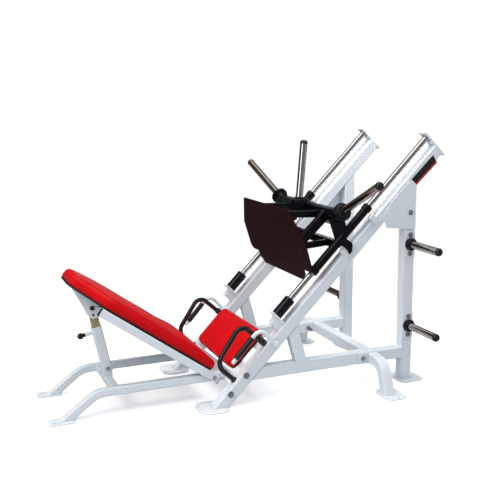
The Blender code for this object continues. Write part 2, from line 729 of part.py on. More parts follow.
def carriage_frame():
    frame = beam(at(TOP_BAR_X, -0.400, TOP_BAR_Z), at(TOP_BAR_X, 0.400, TOP_BAR_Z),
                 0.056, 0.056, Z_AXIS, 0.005)
    union(frame,
          beam(at(LOW_BAR_X, -0.392, LOW_BAR_Z), at(LOW_BAR_X, 0.392, LOW_BAR_Z),
               0.048, 0.048, Z_AXIS, 0.005),
          rod_sleeve(-1), rod_sleeve(1))
    for side in (-1, 1):
        union(frame, *carriage_struts(side))
    # trim everything flush with the back of the foot plate
    face = behind_plate(0.25, 0, 0)
    minus(frame, beam(face - PLATE_NORMAL * 0.10, face, 1.2, 0.9, PLATE_DOWN, 0))
    for side in (-1, 1):
        base, direction = side_horn_axis(side)
        union(frame, cylinder(base - direction * 0.078, base, radius=0.044))
        # catch hook reaching down past the rail's outer face
        union(frame,
              incline_box(0.590, 0.640, -0.018, 0.016, *span(side, 0.400, HOOK_OUTER)),
              plate(round_corners(HOOK_CORNERS, 3), HOOK_THICK,
                    incline(0, 0, side * (HOOK_OUTER - HOOK_THICK / 2)),
                    RAIL_DIR, RAIL_NORMAL))
    # centre horn block
    union(frame, cylinder(CENTRE_HORN_BASE - Z_AXIS * 0.080, CENTRE_HORN_BASE,
                          radius=0.061, segments=32, bevel=0.006))
    for side in (-1, 1):
        y = side * RAIL_Y
        minus(frame, cylinder(incline(SLEEVE_START - 0.05, 0, y),
                              incline(SLEEVE_END + 0.05, 0, y), ROD_R + GAP, 28))
    finish(frame, "carriage_frame", BLACK)


def foot_plate():
    corners = [(half, down, radius) for down, half, radius in PLATE_HALF]
    corners += [(-half, down, radius) for half, down, radius in reversed(corners)]
    finish(plate(round_corners(corners, 3), PLATE_THICK,
                 PLATE_TOP + PLATE_NORMAL * (PLATE_THICK / 2), Y_AXIS, PLATE_DOWN),
           "foot_plate", BLACK)


def carriage_horn(tag, base, direction, length, lift, collar_r, collar_end):
    """Horn, collar and cap; lift is the clearance above the base face."""
    foot = base + direction * lift
    cap_start = length - 0.024
    finish(cylinder(foot, base + direction * cap_start, HORN_R),
           "carriage_horn_" + tag, CHROME)
    collar = ring(foot + direction * GAP, foot + direction * collar_end, collar_r,
                  bore=HORN_R + GAP, segments=24, bore_segments=24, bevel=0.003)
    finish(collar, "carriage_collar_" + tag, RUBBER)
    cap = cylinder(base + direction * (cap_start + GAP), base + direction * length,
                   HORN_CAP_R, bevel=HORN_CAP_BEVEL)
    finish(cap, "carriage_cap_" + tag, RUBBER)


def carriage_horns():
    centre_dir = Vector((math.sin(CENTRE_HORN_LEAN), 0, math.cos(CENTRE_HORN_LEAN)))
    carriage_horn("centre", CENTRE_HORN_BASE, centre_dir, length=0.386, lift=0.0025,
                  collar_r=0.031, collar_end=0.012)
    for side, tag in SIDES:
        carriage_horn(tag, *side_horn_axis(side), length=0.540, lift=GAP,
                      collar_r=0.057, collar_end=0.032)


# ----------------------------------------------------------------- backrest
BACK_PIVOT = at(BACK_PIVOT_X, 0, BACK_PIVOT_Z)
# along and off the backrest, corner radius
LUG_CORNERS = [(0.735, -0.020, 0.004), (0.752, -0.052, 0.012), (0.784, -0.083, 0.010),
               (0.812, -0.085, 0.012), (0.852, -0.060, 0.020), (0.985, 0.010, 0.008),
               (0.995, 0.0245, 0.004), (0.735, 0.0245, 0.004)]
LUG_INNER, LUG_THICK = 0.0268, 0.006
BACK_BOARD_THICK = 0.012
BACK_BOARD_BOTTOM = BACK_TUBE / 2 + GAP
BACK_PAD_BOTTOM = BACK_BOARD_BOTTOM + BACK_BOARD_THICK + GAP
BACK_PAD_TOP = 0.106
PAD_SEAT_END, PAD_HEAD_END = 0.028, 1.062
# position along the cushion, thickness factor: thin at the seat, lumbar swell
FULLNESS = ((PAD_SEAT_END, 0.74), (0.10, 0.86), (0.17, 0.985), (0.225, 1.08),
            (0.275, 1.08), (0.345, 0.985), (0.42, 1.0), (PAD_HEAD_END, 1.0))


def backrest_frame():
    low, high = [beam(on_back(-0.036, 0, side * BACK_Y), on_back(0.850, 0, side * BACK_Y),
                      0.030, BACK_TUBE, BACK_NORMAL) for side in (-1, 1)]
    upper_bar, lower_bar = [beam(on_back(along, 0, -BACK_Y), on_back(along, 0, BACK_Y),
                                 0.040, 0.046, BACK_NORMAL) for along in (0.745, 0.160)]
    frame = union(upper_bar, low, high, lower_bar)
    for side in (-1, 1):
        union(frame, plate(round_corners(LUG_CORNERS, 4), LUG_THICK,
                           on_back(0, 0, side * (LUG_INNER + LUG_THICK / 2)),
                           BACK_DIR, BACK_NORMAL))
        minus(frame, cylinder(on_back(0, 0, side * (BACK_Y - 0.04)),
                              on_back(0, 0, side * (BACK_Y + 0.04)), BOLT_HOLE_R))
    minus(frame, cylinder(on_back(POST_TOP_ALONG, POST_TOP_OFF, -0.06),
                          on_back(POST_TOP_ALONG, POST_TOP_OFF, 0.06), radius=0.0090))
    finish(frame, "backrest_frame", WHITE, BACK_PIVOT)


def backrest_slab(inset, bottom, thickness):
    """Slab tapering to the head end; the shoulder corners are not inset along it."""
    # along the backrest, half width, corner radius
    half = [(PAD_SEAT_END + inset, 0.292 - inset, 0.035), (0.83, 0.278 - inset, 0.14),
            (PAD_HEAD_END - inset, 0.125 - inset, 0.06)]
    corners = [(along, -width, radius) for along, width, radius in half]
    return plate(round_corners(corners + half[::-1], 4), thickness,
                 on_back(0, bottom + thickness / 2, 0), BACK_DIR, Y_AXIS)


def fullness(along):
    for (start, factor), (end, next_factor) in zip(FULLNESS, FULLNESS[1:]):
        if along <= end:
            share = max(along - start, 0.0) / (end - start)
            return factor + (next_factor - factor) * share
    return FULLNESS[-1][1]


def backrest_cushion():
    finish(backrest_slab(0.005, BACK_BOARD_BOTTOM, BACK_BOARD_THICK),
           "backrest_board", BLACK, BACK_PIVOT)
    pad = backrest_slab(0.0, BACK_PAD_BOTTOM, BACK_PAD_TOP - BACK_PAD_BOTTOM)
    soften_top(pad, on_back(0, BACK_PAD_TOP, 0), BACK_NORMAL)
    bm = open_mesh(pad)
    # add a row of vertices at each station, then scale the thickness
    for along, _ in FULLNESS[1:-1]:
        bmesh.ops.bisect_plane(bm, geom=bm.verts[:] + bm.edges[:] + bm.faces[:],
                               plane_co=on_back(along, 0, 0), plane_no=BACK_DIR,
                               dist=1e-6)
    for vert in bm.verts:
        local = vert.co - on_back(0, 0, 0)
        height = local.dot(BACK_NORMAL) - BACK_PAD_BOTTOM
        vert.co += BACK_NORMAL * (height * (fullness(local.dot(BACK_DIR)) - 1.0))
    close_mesh(bm, pad)
    finish(pad, "backrest_pad", RED, BACK_PIVOT)


def backrest_pivot_bolt(side, tag):
    """Bolt with a hexagon at each end."""
    # |y| start, |y| end, radius, segments
    shank, outer_hex, inner_hex = [
        cross_cylinder(BACK_PIVOT_X, BACK_PIVOT_Z, side * start, side * end,
                       radius, segments)
        for start, end, radius, segments in ((0.2020, 0.3000, BOLT_R, 24),
                                             (0.2953, 0.3040, 0.0135, 6),
                                             (0.1980, 0.2097, 0.0135, 6))]
    finish(union(shank, outer_hex, inner_hex), "backrest_pivot_bolt_" + tag, STEEL)


# ------------------------------------------------------------- support post
POST_BASE = at(POST_X, 0, POST_Z)
POST_VECTOR = on_back(POST_TOP_ALONG, POST_TOP_OFF, 0) - POST_BASE
POST_LENGTH = POST_VECTOR.length
POST_DIR = POST_VECTOR.normalized()
POST_SQUARE = Vector((-POST_DIR.z, 0, POST_DIR.x))   # toward the head end
PIN_ALONG = 0.242            # pull pin position up the post
PIN_R = 0.0060


def on_post(along, off, y=0.0):
    return POST_BASE + POST_DIR * along + POST_SQUARE * off + Y_AXIS * y


def post_sleeve():
    """Lower square sleeve with a boss for the pull pin."""
    sleeve = beam(on_post(-0.020, 0), on_post(0.275, 0), 0.060, 0.060, Y_AXIS, 0.005)
    union(sleeve, cylinder(on_post(PIN_ALONG, 0.027), on_post(PIN_ALONG, 0.078),
                           radius=0.0130, segments=20))
    minus(sleeve,
          beam(on_post(-0.05, 0), on_post(0.30, 0), 0.0512, 0.0512, Y_AXIS, 0.002),
          cylinder(on_post(0, 0, -0.05), on_post(0, 0, 0.05), BOLT_HOLE_R),
          cylinder(on_post(PIN_ALONG, 0.020), on_post(PIN_ALONG, 0.10),
                   radius=0.0065, segments=20))
    finish(sleeve, "post_sleeve", WHITE, POST_BASE)


def post_inner_tube():
    """Sliding square tube with its upper cross bolt."""
    tube = beam(on_post(0.118, 0), on_post(POST_LENGTH + 0.013, 0),
                0.0500, 0.0500, Y_AXIS, 0.0025)
    minus(tube, beam(on_post(0.05, 0), on_post(POST_LENGTH + 0.10, 0),
                     0.0430, 0.0430, Y_AXIS, 0.0))
    union(tube, cylinder(on_post(POST_LENGTH, 0, -0.0400), on_post(POST_LENGTH, 0, 0.0400),
                         radius=0.0060, segments=20))
    for side in (-1, 1):
        union(tube, cylinder(on_post(POST_LENGTH, 0, side * 0.0345),
                             on_post(POST_LENGTH, 0, side * 0.0430),
                             radius=0.0115, segments=6))
    finish(tube, "post_inner_tube", GOLD, POST_BASE)


def post_base_bolt():
    bolt = cylinder(on_post(0, 0, -0.0420), on_post(0, 0, 0.0420), BOLT_R)
    for side in (-1, 1):
        union(bolt, cylinder(on_post(0, 0, side * 0.0369), on_post(0, 0, side * 0.0450),
                             radius=0.0130, segments=6))
    finish(bolt, "post_base_bolt", STEEL)


def pull_pin():
    """Pin with a round flange and a ball knob."""
    pin = cylinder(on_post(PIN_ALONG, 0.0262), on_post(PIN_ALONG, 0.115), PIN_R, 20)
    union(pin,
          cylinder(on_post(PIN_ALONG, 0.0783), on_post(PIN_ALONG, 0.0870),
                   radius=0.0140, segments=20),
          ball(on_post(PIN_ALONG, 0.1060), radius=0.0200))
    finish(pin, "pull_pin", BLACK, on_post(PIN_ALONG, 0.0))


# -------------------------------------------------------------------- build
for build in (front_base, cross_brace, seat, carriage_frame, foot_plate,
              carriage_horns, backrest_frame, backrest_cushion, post_sleeve,
              post_inner_tube, post_base_bolt, pull_pin):
    build()
for side, tag in SIDES:
    for build in (inclined_rail, side_frame, gusset, outrigger, guide_rod,
                  grab_handle, lock_lever, backrest_pivot_bolt):
        build(side, tag)
    for level, z in STORAGE_HEIGHTS:
        storage_horn(side, level + "_" + tag, z)
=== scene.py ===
# Plate-loaded leg press: seat and reclining backrest at the -x end, and a carriage that
# slides on two chrome rods rising at 45 degrees towards +x. The machine lies along x, is
# mirrored about y = 0 with "left" at +y, and stands on z = 0. Metres throughout.
import bpy
import bmesh
import math
import numpy as np
from mathutils import Matrix, Vector, noise
from mathutils.kdtree import KDTree


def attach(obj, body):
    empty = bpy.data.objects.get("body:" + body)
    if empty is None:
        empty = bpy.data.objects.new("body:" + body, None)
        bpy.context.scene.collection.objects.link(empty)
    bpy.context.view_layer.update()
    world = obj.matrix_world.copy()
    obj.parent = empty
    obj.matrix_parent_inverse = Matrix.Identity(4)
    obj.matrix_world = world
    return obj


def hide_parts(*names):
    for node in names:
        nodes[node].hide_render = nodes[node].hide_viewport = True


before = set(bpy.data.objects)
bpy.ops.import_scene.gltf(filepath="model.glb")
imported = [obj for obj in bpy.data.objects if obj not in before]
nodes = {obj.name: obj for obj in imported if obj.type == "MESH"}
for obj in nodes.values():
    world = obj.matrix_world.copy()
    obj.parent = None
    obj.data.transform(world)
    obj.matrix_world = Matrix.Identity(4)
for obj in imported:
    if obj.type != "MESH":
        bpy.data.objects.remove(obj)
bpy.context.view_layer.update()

scene = bpy.context.scene

# ------------------------------------------------------- driving dimensions
X_SHIFT = 0.1045              # added to every x station
SIDES = ((1, "left"), (-1, "right"))

RAIL_Y = 0.390                # rod and rail centre lines
RAIL_TUBE = 0.076             # square rail tube
RAIL_OFFSET = -0.105          # rail centre line below the rod, square to the slope
ROD_START_Z = 0.535           # lower end of the rods, at x station 0
ROD_TOP = 1.495               # upper end plate, along the rod
ROD_RADIUS = 0.019
HORN_RADIUS = 0.0241
UPRIGHT_X = 0.928
BRACE_X, BRACE_Z = 0.665, 0.190
STORAGE_LEVELS = (("upper", 0.916), ("lower", 0.374))    # horn heights
PLATE_WELD_Z = 0.0068         # beads round tubes standing on the floor plates

BACKREST_PIVOT_X, BACKREST_PIVOT_Z = -0.377, 0.153
BACKREST_ANGLE = math.radians(35.5)
BACKREST_TUBE_Y = 0.280
POST_BASE_X, POST_BASE_Z = -0.985, 0.216
POST_TOP_ALONG, POST_TOP_OFF = 0.825, -0.0275    # post's upper pin, on the backrest
LEVER_X, LEVER_Y, LEVER_Z = -0.030, 0.452, 0.368

# ------------------------------------------------------------ local frames
DIAGONAL = math.sqrt(0.5)
COS_BACK, SIN_BACK = math.cos(BACKREST_ANGLE), math.sin(BACKREST_ANGLE)
AXIS_X, AXIS_Y, AXIS_Z = Vector((1, 0, 0)), Vector((0, 1, 0)), Vector((0, 0, 1))
RAIL_ALONG = Vector((DIAGONAL, 0, DIAGONAL))
RAIL_OFF = Vector((-DIAGONAL, 0, DIAGONAL))
BACK_ALONG = Vector((-COS_BACK, 0, SIN_BACK))
BACK_OFF = Vector((SIN_BACK, 0, COS_BACK))


def at(x, y, z):
    return Vector((x + X_SHIFT, y, z))


def on_rail(along, off, y):
    """Point in the rods' frame: up the slope, and square to it upwards."""
    return at((along - off) * DIAGONAL, y, ROD_START_Z + (along + off) * DIAGONAL)


def on_backrest(along, off, y):
    """Point in the backrest's frame: up from its pivot, and off its face."""
    return at(BACKREST_PIVOT_X - along * COS_BACK + off * SIN_BACK, y,
              BACKREST_PIVOT_Z + along * SIN_BACK + off * COS_BACK)


post_foot = at(POST_BASE_X, 0, POST_BASE_Z)
post_top = on_backrest(POST_TOP_ALONG, POST_TOP_OFF, 0)
POST_LENGTH = (post_top - post_foot).length
POST_ALONG = (post_top - post_foot).normalized()
POST_OFF = Vector((-POST_ALONG.z, 0, POST_ALONG.x))


def on_post(along, off, y=0.0):
    return post_foot + POST_ALONG * along + POST_OFF * off + AXIS_Y * y


# ------------------------------------------------------------ shader tools
class Shader:
    """Short calls that add linked nodes to one node tree."""

    def __init__(self, tree):
        self.tree = tree

    def fill(self, target, inputs):
        """Link sockets, and set plain values, on a node's inputs."""
        for key, value in inputs.items():
            if isinstance(value, bpy.types.NodeSocket):
                self.tree.links.new(value, target.inputs[key])
            else:
                target.inputs[key].default_value = value

    def add(self, kind, inputs=(), **settings):
        added = self.tree.nodes.new(kind)
        for key, value in settings.items():
            setattr(added, key, value)
        self.fill(added, dict(inputs))
        return added

    def surface(self, inputs):
        self.fill(self.tree.nodes["Principled BSDF"], inputs)

    def coords(self, scale=(1, 1, 1), turn=(0, 0, 0)):
        source = self.add("ShaderNodeTexCoord").outputs["Object"]
        inputs = {"Scale": scale, "Rotation": turn, "Vector": source}
        return self.add("ShaderNodeMapping", inputs).outputs["Vector"]

    def noise_node(self, vector, scale, detail=3.0, roughness=0.5):
        return self.add("ShaderNodeTexNoise", {"Scale": scale, "Detail": detail,
                                               "Roughness": roughness, "Vector": vector})

    def noise(self, vector, **values):
        return self.noise_node(vector, **values).outputs["Fac"]

    def ramp(self, factor, stops):
        """Colour ramp; stops map position to colour."""
        added = self.add("ShaderNodeValToRGB", {"Fac": factor})
        elements = added.color_ramp.elements
        while len(elements) < len(stops):
            elements.new(0.5)
        for element, (position, colour) in zip(elements, stops.items()):
            element.position = position
            element.color = (*colour, 1)
        return added.outputs["Color"]

    def remap(self, value, source, target):
        return self.add("ShaderNodeMapRange", {
            "From Min": source[0], "From Max": source[1],
            "To Min": target[0], "To Max": target[1], "Value": value}).outputs["Result"]

    def mix(self, factor, first, second):
        """Blend two colours, each a socket or an RGB triple."""
        first, second = (c if isinstance(c, bpy.types.NodeSocket) else (*c, 1)
                         for c in (first, second))
        return self.add("ShaderNodeMix", {0: factor, 6: first, 7: second},
                        data_type="RGBA").outputs[2]

    def math(self, operation, *values):
        return self.add("ShaderNodeMath", dict(enumerate(values)),
                        operation=operation).outputs[0]

    def vector_math(self, operation, *values):
        return self.add("ShaderNodeVectorMath", dict(enumerate(values)),
                        operation=operation)

    def bump(self, height, strength, distance, previous=None):
        inputs = {"Strength": strength, "Distance": distance, "Height": height}
        if previous is not None:
            inputs["Normal"] = previous
        return self.add("ShaderNodeBump", inputs).outputs["Normal"]

    def emission(self, colour, strength=1.0):
        return self.add("ShaderNodeEmission", {"Strength": strength, "Color": (*colour, 1)})

    def mix_shader(self, factor, first, second):
        return self.add("ShaderNodeMixShader",
                        {0: factor, 1: first, 2: second}).outputs[0]


def new_material(name):
    material = bpy.data.materials.new(name)
    material.use_nodes = True
    return material, Shader(material.node_tree)


# --------------------------------------------------------------- materials
def powder(name, colours, corner_shade, roughness, coat, peel, specular=0.45):
    """Powder-coated steel: cloudy colour, painted shade in the corners, optional peel."""
    material, shader = new_material(name)
    vector = shader.coords()
    cloud = shader.noise(vector, scale=3.0, detail=4.0)
    colour = shader.ramp(cloud, {0.35: colours[0], 0.65: colours[1]})
    # Painted shade: the colour is pulled towards the darker shade colour in corners and
    # crevices found by ambient occlusion, in patches set by a fine noise.
    occlusion = shader.add("ShaderNodeAmbientOcclusion", {"Distance": 0.035}, samples=4)
    crevice = shader.remap(occlusion.outputs["AO"], source=(0.25, 0.80), target=(1.0, 0.0))
    spots = shader.noise(vector, scale=60.0, detail=5.0, roughness=0.7)
    painted_shade = shader.math("MULTIPLY", crevice,
                       shader.remap(spots, source=(0.35, 0.65), target=(0.55, 0.85)))
    shader.surface({
        "Base Color": shader.mix(painted_shade, colour, corner_shade),
        "Roughness": shader.remap(
            shader.noise(vector, scale=9.0, detail=5.0, roughness=0.6),
            source=(0.3, 0.7), target=(roughness - 0.05, roughness + 0.09)),
        "Coat Weight": coat,
        "Coat Roughness": 0.24,
        "Specular IOR Level": specular})
    if peel > 0:
        fine = shader.noise(vector, scale=420.0, detail=2.0)
        shader.surface({"Normal": shader.bump(fine, strength=peel, distance=0.0004)})
    return material


def metal(name, colours, roughness, streak, relief, turn=(0, 0, 0)):
    """Bright metal with fine marks; streak is their density along each turned axis."""
    material, shader = new_material(name)
    marks = shader.noise(shader.coords(streak, turn), scale=1.0, detail=4.0, roughness=0.6)
    cloud = shader.noise(shader.coords(), scale=12.0, detail=4.0)
    shader.surface({
        "Metallic": 1.0,
        "Base Color": shader.ramp(cloud, {0.3: colours[0], 0.7: colours[1]}),
        "Roughness": shader.remap(marks, source=(0.3, 0.7),
                                  target=(max(roughness - 0.03, 0.02), roughness + 0.06)),
        "Normal": shader.bump(marks, strength=relief, distance=0.0002)})
    return material


def moulded(name, colours, roughness, grain, relief, coat=0.0, specular=0.3):
    """Rubber or plastic with a fine moulded grain and a dusty variation."""
    material, shader = new_material(name)
    vector = shader.coords()
    dusty = shader.noise(vector, scale=25.0, detail=6.0, roughness=0.65)
    shader.surface({
        "Base Color": shader.ramp(dusty, {0.35: colours[0], 0.7: colours[1]}),
        "Roughness": shader.remap(shader.noise(vector, scale=40.0, detail=4.0),
                                  source=(0.3, 0.7),
                                  target=(roughness - 0.06, roughness + 0.08)),
        "Coat Weight": coat,
        "Coat Roughness": 0.15,
        "Specular IOR Level": specular,
        "Normal": shader.bump(shader.noise(vector, scale=grain, detail=2.0),
                              strength=relief, distance=0.0004)})
    return material


def vinyl(name, base, deep, warm):
    """Upholstery vinyl: pebble grain, painted shade in the grain's creases, faint colour
    drift.
    """
    material, shader = new_material(name)
    vector = shader.coords()
    cloud = shader.noise(vector, scale=5.0, detail=5.0, roughness=0.55)
    colour = shader.ramp(cloud, {0.30: deep, 0.55: base, 0.75: warm})
    # pebbles: cell edges, with the lookup warped so that they are not straight
    warp = shader.noise_node(vector, scale=160.0, detail=2.0).outputs["Color"]
    warped = shader.vector_math("MULTIPLY_ADD", warp, (0.004, 0.004, 0.004), vector)
    edges = shader.add("ShaderNodeTexVoronoi",
                       {"Scale": 520.0, "Vector": warped.outputs[0]},
                       feature="DISTANCE_TO_EDGE")
    cell = shader.remap(edges.outputs["Distance"], source=(0.0, 0.14), target=(0.0, 1.0))
    # Painted shade: the colour is darkened along the pebbles' cell edges, where the grain's
    # grooves would lie in shade.
    groove_shade = shader.remap(cell, source=(0.0, 1.0), target=(0.22, 0.0))
    shader.surface({
        "Base Color": shader.mix(groove_shade, colour, tuple(c * 0.55 for c in deep)),
        "Roughness": shader.remap(
            shader.noise(vector, scale=18.0, detail=5.0, roughness=0.6),
            source=(0.3, 0.7), target=(0.30, 0.44)),
        "Specular IOR Level": 0.24,
        "Specular Tint": (1.0, 0.50, 0.50, 1),
        "Sheen Weight": 0.0,
        "Sheen Roughness": 0.45,
        "Sheen Tint": (1.0, 0.55, 0.62, 1)})
    pebbles = shader.bump(cell, strength=0.16, distance=0.0004)
    waves = shader.noise(vector, scale=34.0, detail=3.0)
    shader.surface({"Normal": shader.bump(waves, strength=0.10, distance=0.0015,
                                          previous=pebbles)})
    return material


def foot_plate_coat():
    """Dark grip coat: brown-black, fine pebble, lightly scuffed."""
    material, shader = new_material("foot_plate_coat")
    vector = shader.coords()
    colour = shader.ramp(shader.noise(vector, scale=7.0, detail=6.0, roughness=0.6),
                         {0.3: (0.013, 0.0022, 0.0034), 0.7: (0.020, 0.0036, 0.0046)})
    cells = shader.add("ShaderNodeTexVoronoi", {"Scale": 330.0, "Vector": vector})
    grit = shader.remap(cells.outputs["Distance"], source=(0.0, 0.6), target=(1.0, 0.0))
    scuff = shader.noise(shader.coords(scale=(6, 60, 6)), scale=1.0, detail=8.0,
                         roughness=0.7)
    worn = shader.remap(scuff, source=(0.60, 0.80), target=(0.0, 0.12))
    shader.surface({
        "Base Color": shader.mix(worn, colour, (0.035, 0.022, 0.020)),
        "Roughness": shader.remap(scuff, source=(0.4, 0.7), target=(0.55, 0.42)),
        "Specular IOR Level": 0.07,
        "Specular Tint": (1.0, 0.35, 0.42, 1),
        "Normal": shader.bump(grit, strength=0.30, distance=0.0006)})
    return material


def yellow_zinc():
    """Yellow zinc plating, drawn along the post, with a drift of colour."""
    material, shader = new_material("yellow_zinc")
    slope = math.atan2(POST_ALONG.z, POST_ALONG.x)
    drawn = shader.noise(shader.coords(scale=(5, 260, 260), turn=(0, slope, 0)),
                         scale=1.0, detail=5.0, roughness=0.65)
    cloud = shader.noise(shader.coords(), scale=38.0, detail=4.0)
    base = shader.ramp(cloud, {0.28: (0.56, 0.42, 0.24), 0.5: (0.68, 0.54, 0.32),
                               0.72: (0.62, 0.53, 0.38)})
    streaks = shader.remap(drawn, source=(0.35, 0.7), target=(0.0, 0.5))
    shader.surface({
        "Metallic": 0.55,
        "Base Color": shader.mix(streaks, base, (0.42, 0.31, 0.18)),
        "Roughness": shader.remap(drawn, source=(0.3, 0.7), target=(0.30, 0.48)),
        "Normal": shader.bump(drawn, strength=0.25, distance=0.0003)})
    return material


# The darker colour given after each powder coat's pair of colours below is painted shade
# for its corners and crevices.
WHITE = powder("white_powder_coat", ((0.806, 0.845, 0.872), (0.822, 0.858, 0.882)),
               corner_shade=(0.56, 0.60, 0.66), roughness=0.30, coat=0.28, peel=0.0)
WELD = powder("white_weld", ((0.76, 0.795, 0.82), (0.81, 0.83, 0.85)),
              corner_shade=(0.40, 0.43, 0.48), roughness=0.30, coat=0.25, peel=0.3)
BLACK = powder("black_gloss_coat", ((0.0035, 0.0035, 0.0048), (0.006, 0.006, 0.0085)),
               corner_shade=(0.001, 0.001, 0.001), roughness=0.20, coat=0.0, peel=0.10,
               specular=0.26)
CHROME = metal("chrome_incline", ((0.74, 0.73, 0.73), (0.82, 0.81, 0.81)),
               roughness=0.09, streak=(3, 500, 500), relief=0.02,
               turn=(0, math.radians(45), 0))
# The warm brown, darker colours of this chrome are a painted reflection of a dim brown
# room.
HORN_CHROME = metal("chrome_horn", ((0.56, 0.50, 0.43), (0.70, 0.64, 0.57)),
                    roughness=0.10, streak=(300, 3, 300), relief=0.03)
UPRIGHT_HORN_CHROME = metal("chrome_horn_upright",
                            ((0.62, 0.58, 0.59), (0.74, 0.70, 0.72)),
                            roughness=0.11, streak=(300, 300, 3), relief=0.03)
ZINC = metal("zinc_bolt", ((0.36, 0.38, 0.40), (0.52, 0.54, 0.56)),
             roughness=0.33, streak=(200, 200, 200), relief=0.2)
STEEL = metal("turned_steel", ((0.52, 0.53, 0.54), (0.64, 0.65, 0.66)),
              roughness=0.22, streak=(90, 90, 90), relief=0.1)
RUBBER = moulded("rubber", ((0.003, 0.003, 0.0045), (0.007, 0.007, 0.010)),
                 roughness=0.20, grain=900.0, relief=0.06, specular=0.42)
GRIP = moulded("grip_rubber", ((0.003, 0.003, 0.005), (0.007, 0.007, 0.011)),
               roughness=0.16, grain=700.0, relief=0.05, specular=0.75)
PLASTIC = moulded("black_plastic", ((0.010, 0.010, 0.011), (0.018, 0.018, 0.020)),
                  roughness=0.20, grain=1400.0, relief=0.04, coat=0.5)
BOARD = moulded("board_backing", ((0.013, 0.012, 0.012), (0.024, 0.022, 0.022)),
                roughness=0.55, grain=650.0, relief=0.35)
VINYL = vinyl("red_vinyl", base=(0.63, 0.0020, 0.0055), deep=(0.58, 0.0015, 0.006),
              warm=(0.67, 0.0030, 0.0050))
PIPING = vinyl("red_piping", base=(0.55, 0.008, 0.012), deep=(0.46, 0.004, 0.010),
               warm=(0.60, 0.012, 0.012))
FOOT_COAT = foot_plate_coat()
GOLD = yellow_zinc()
STRIPE = moulded("red_stripe", ((0.50, 0.018, 0.022), (0.60, 0.028, 0.030)),
                 roughness=0.3, grain=1500.0, relief=0.04, coat=0.4)


# ---------------------------------------------------- finish of the CAD pieces
def weld_group():
    """Geometry nodes: weld split vertices, drop stored normals, shade smooth."""
    group = bpy.data.node_groups.new("weld_splits", "GeometryNodeTree")
    for direction in ("INPUT", "OUTPUT"):
        group.interface.new_socket("Geometry", in_out=direction,
                                   socket_type="NodeSocketGeometry")
    source = group.nodes.new("NodeGroupInput")
    sink = group.nodes.new("NodeGroupOutput")
    weld = group.nodes.new("GeometryNodeMergeByDistance")
    weld.inputs["Distance"].default_value = 0.00001
    group.links.new(source.outputs[0], weld.inputs["Geometry"])
    last = weld.outputs["Geometry"]
    for attribute in ("custom_normal", "sharp_edge", "sharp_face"):
        remove = group.nodes.new("GeometryNodeRemoveAttribute")
        remove.inputs["Name"].default_value = attribute
        group.links.new(last, remove.inputs["Geometry"])
        last = remove.outputs["Geometry"]
    shade = group.nodes.new("GeometryNodeSetShadeSmooth")
    group.links.new(last, shade.inputs["Geometry"])
    group.links.new(shade.outputs["Geometry"], sink.inputs[0])
    return group


WELD_GROUP = weld_group()


def soften(ob, width):
    """Round the sharp edges of a CAD piece."""
    ob.modifiers.new("weld", "NODES").node_group = WELD_GROUP
    planar = ob.modifiers.new("planar", "DECIMATE")
    planar.decimate_type = "DISSOLVE"
    planar.angle_limit = math.radians(0.6)
    bevel = ob.modifiers.new("bevel", "BEVEL")
    bevel.width = width
    bevel.segments = 2
    bevel.limit_method = "ANGLE"
    bevel.angle_limit = math.radians(28.0)
    bevel.use_clamp_overlap = False
    bevel.miter_outer = "MITER_ARC"
    normals = ob.modifiers.new("normals", "WEIGHTED_NORMAL")
    normals.keep_sharp = True
    normals.weight = 60


def paint(ob, material):
    if not ob.material_slots:
        ob.data.materials.append(material)
    for slot in ob.material_slots:
        slot.material = material


def finish_cad_pieces():
    white = ["front_base", "cross_brace", "seat_frame", "backrest_frame", "post_sleeve"]
    for _, label in SIDES:
        white += [part + label for part in (
            "rail_", "side_frame_", "gusset_", "outrigger_", "storage_plate_upper_",
            "storage_plate_lower_")]
    bolts = ("backrest_pivot_bolt_left", "backrest_pivot_bolt_right", "post_base_bolt")
    # pieces, material, bevel width
    for names, material, width in ((white, WHITE, 0.0014),
                                   (("carriage_frame",), BLACK, 0.0013),
                                   (("foot_plate",), FOOT_COAT, 0.0012),
                                   (("seat_board", "backrest_board"), BOARD, 0.0018),
                                   (("post_inner_tube",), GOLD, 0.0006),
                                   (bolts, ZINC, 0.0006)):
        for name in names:
            paint(nodes[name], material)
            soften(nodes[name], width)


# ------------------------------------------------------------ object making
def place(name, mesh, material, body, slot, smooth=True, sharp=None, replaces=None):
    """Link a mesh as an object. sharp is the angle kept crisp, in degrees."""
    if smooth:
        mesh.shade_smooth()
        if sharp:
            mesh.set_sharp_from_angle(angle=math.radians(sharp))
    mesh.materials.append(material)
    ob = bpy.data.objects.new(name, mesh)
    scene.collection.objects.link(ob)
    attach(ob, body)
    if replaces:
        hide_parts(replaces)


def mesh_from(name, form):
    vertices, faces = form
    mesh = bpy.data.meshes.new(name)
    mesh.from_pydata([tuple(v) for v in vertices], [], faces)
    return mesh


def make(name, form, *args, **options):
    """Object from a form, which is a pair of vertices and faces."""
    mesh = mesh_from(name, form)
    bm = bmesh.new()
    bm.from_mesh(mesh)
    bmesh.ops.remove_doubles(bm, verts=bm.verts, dist=1e-6)
    bmesh.ops.recalc_face_normals(bm, faces=bm.faces)
    bm.to_mesh(mesh)
    bm.free()
    place(name, mesh, *args, **options)


# ------------------------------------------------------------------- forms
def frame_of(direction):
    """Two unit vectors square to a direction."""
    direction = direction.normalized()
    helper = AXIS_Z if abs(direction.z) < 0.9 else AXIS_X
    across = direction.cross(helper).normalized()
    return across, direction.cross(across).normalized()


def ring(centre, across, up, radius, count):
    return [centre + across * (radius * math.cos(2 * math.pi * k / count))
            + up * (radius * math.sin(2 * math.pi * k / count)) for k in range(count)]


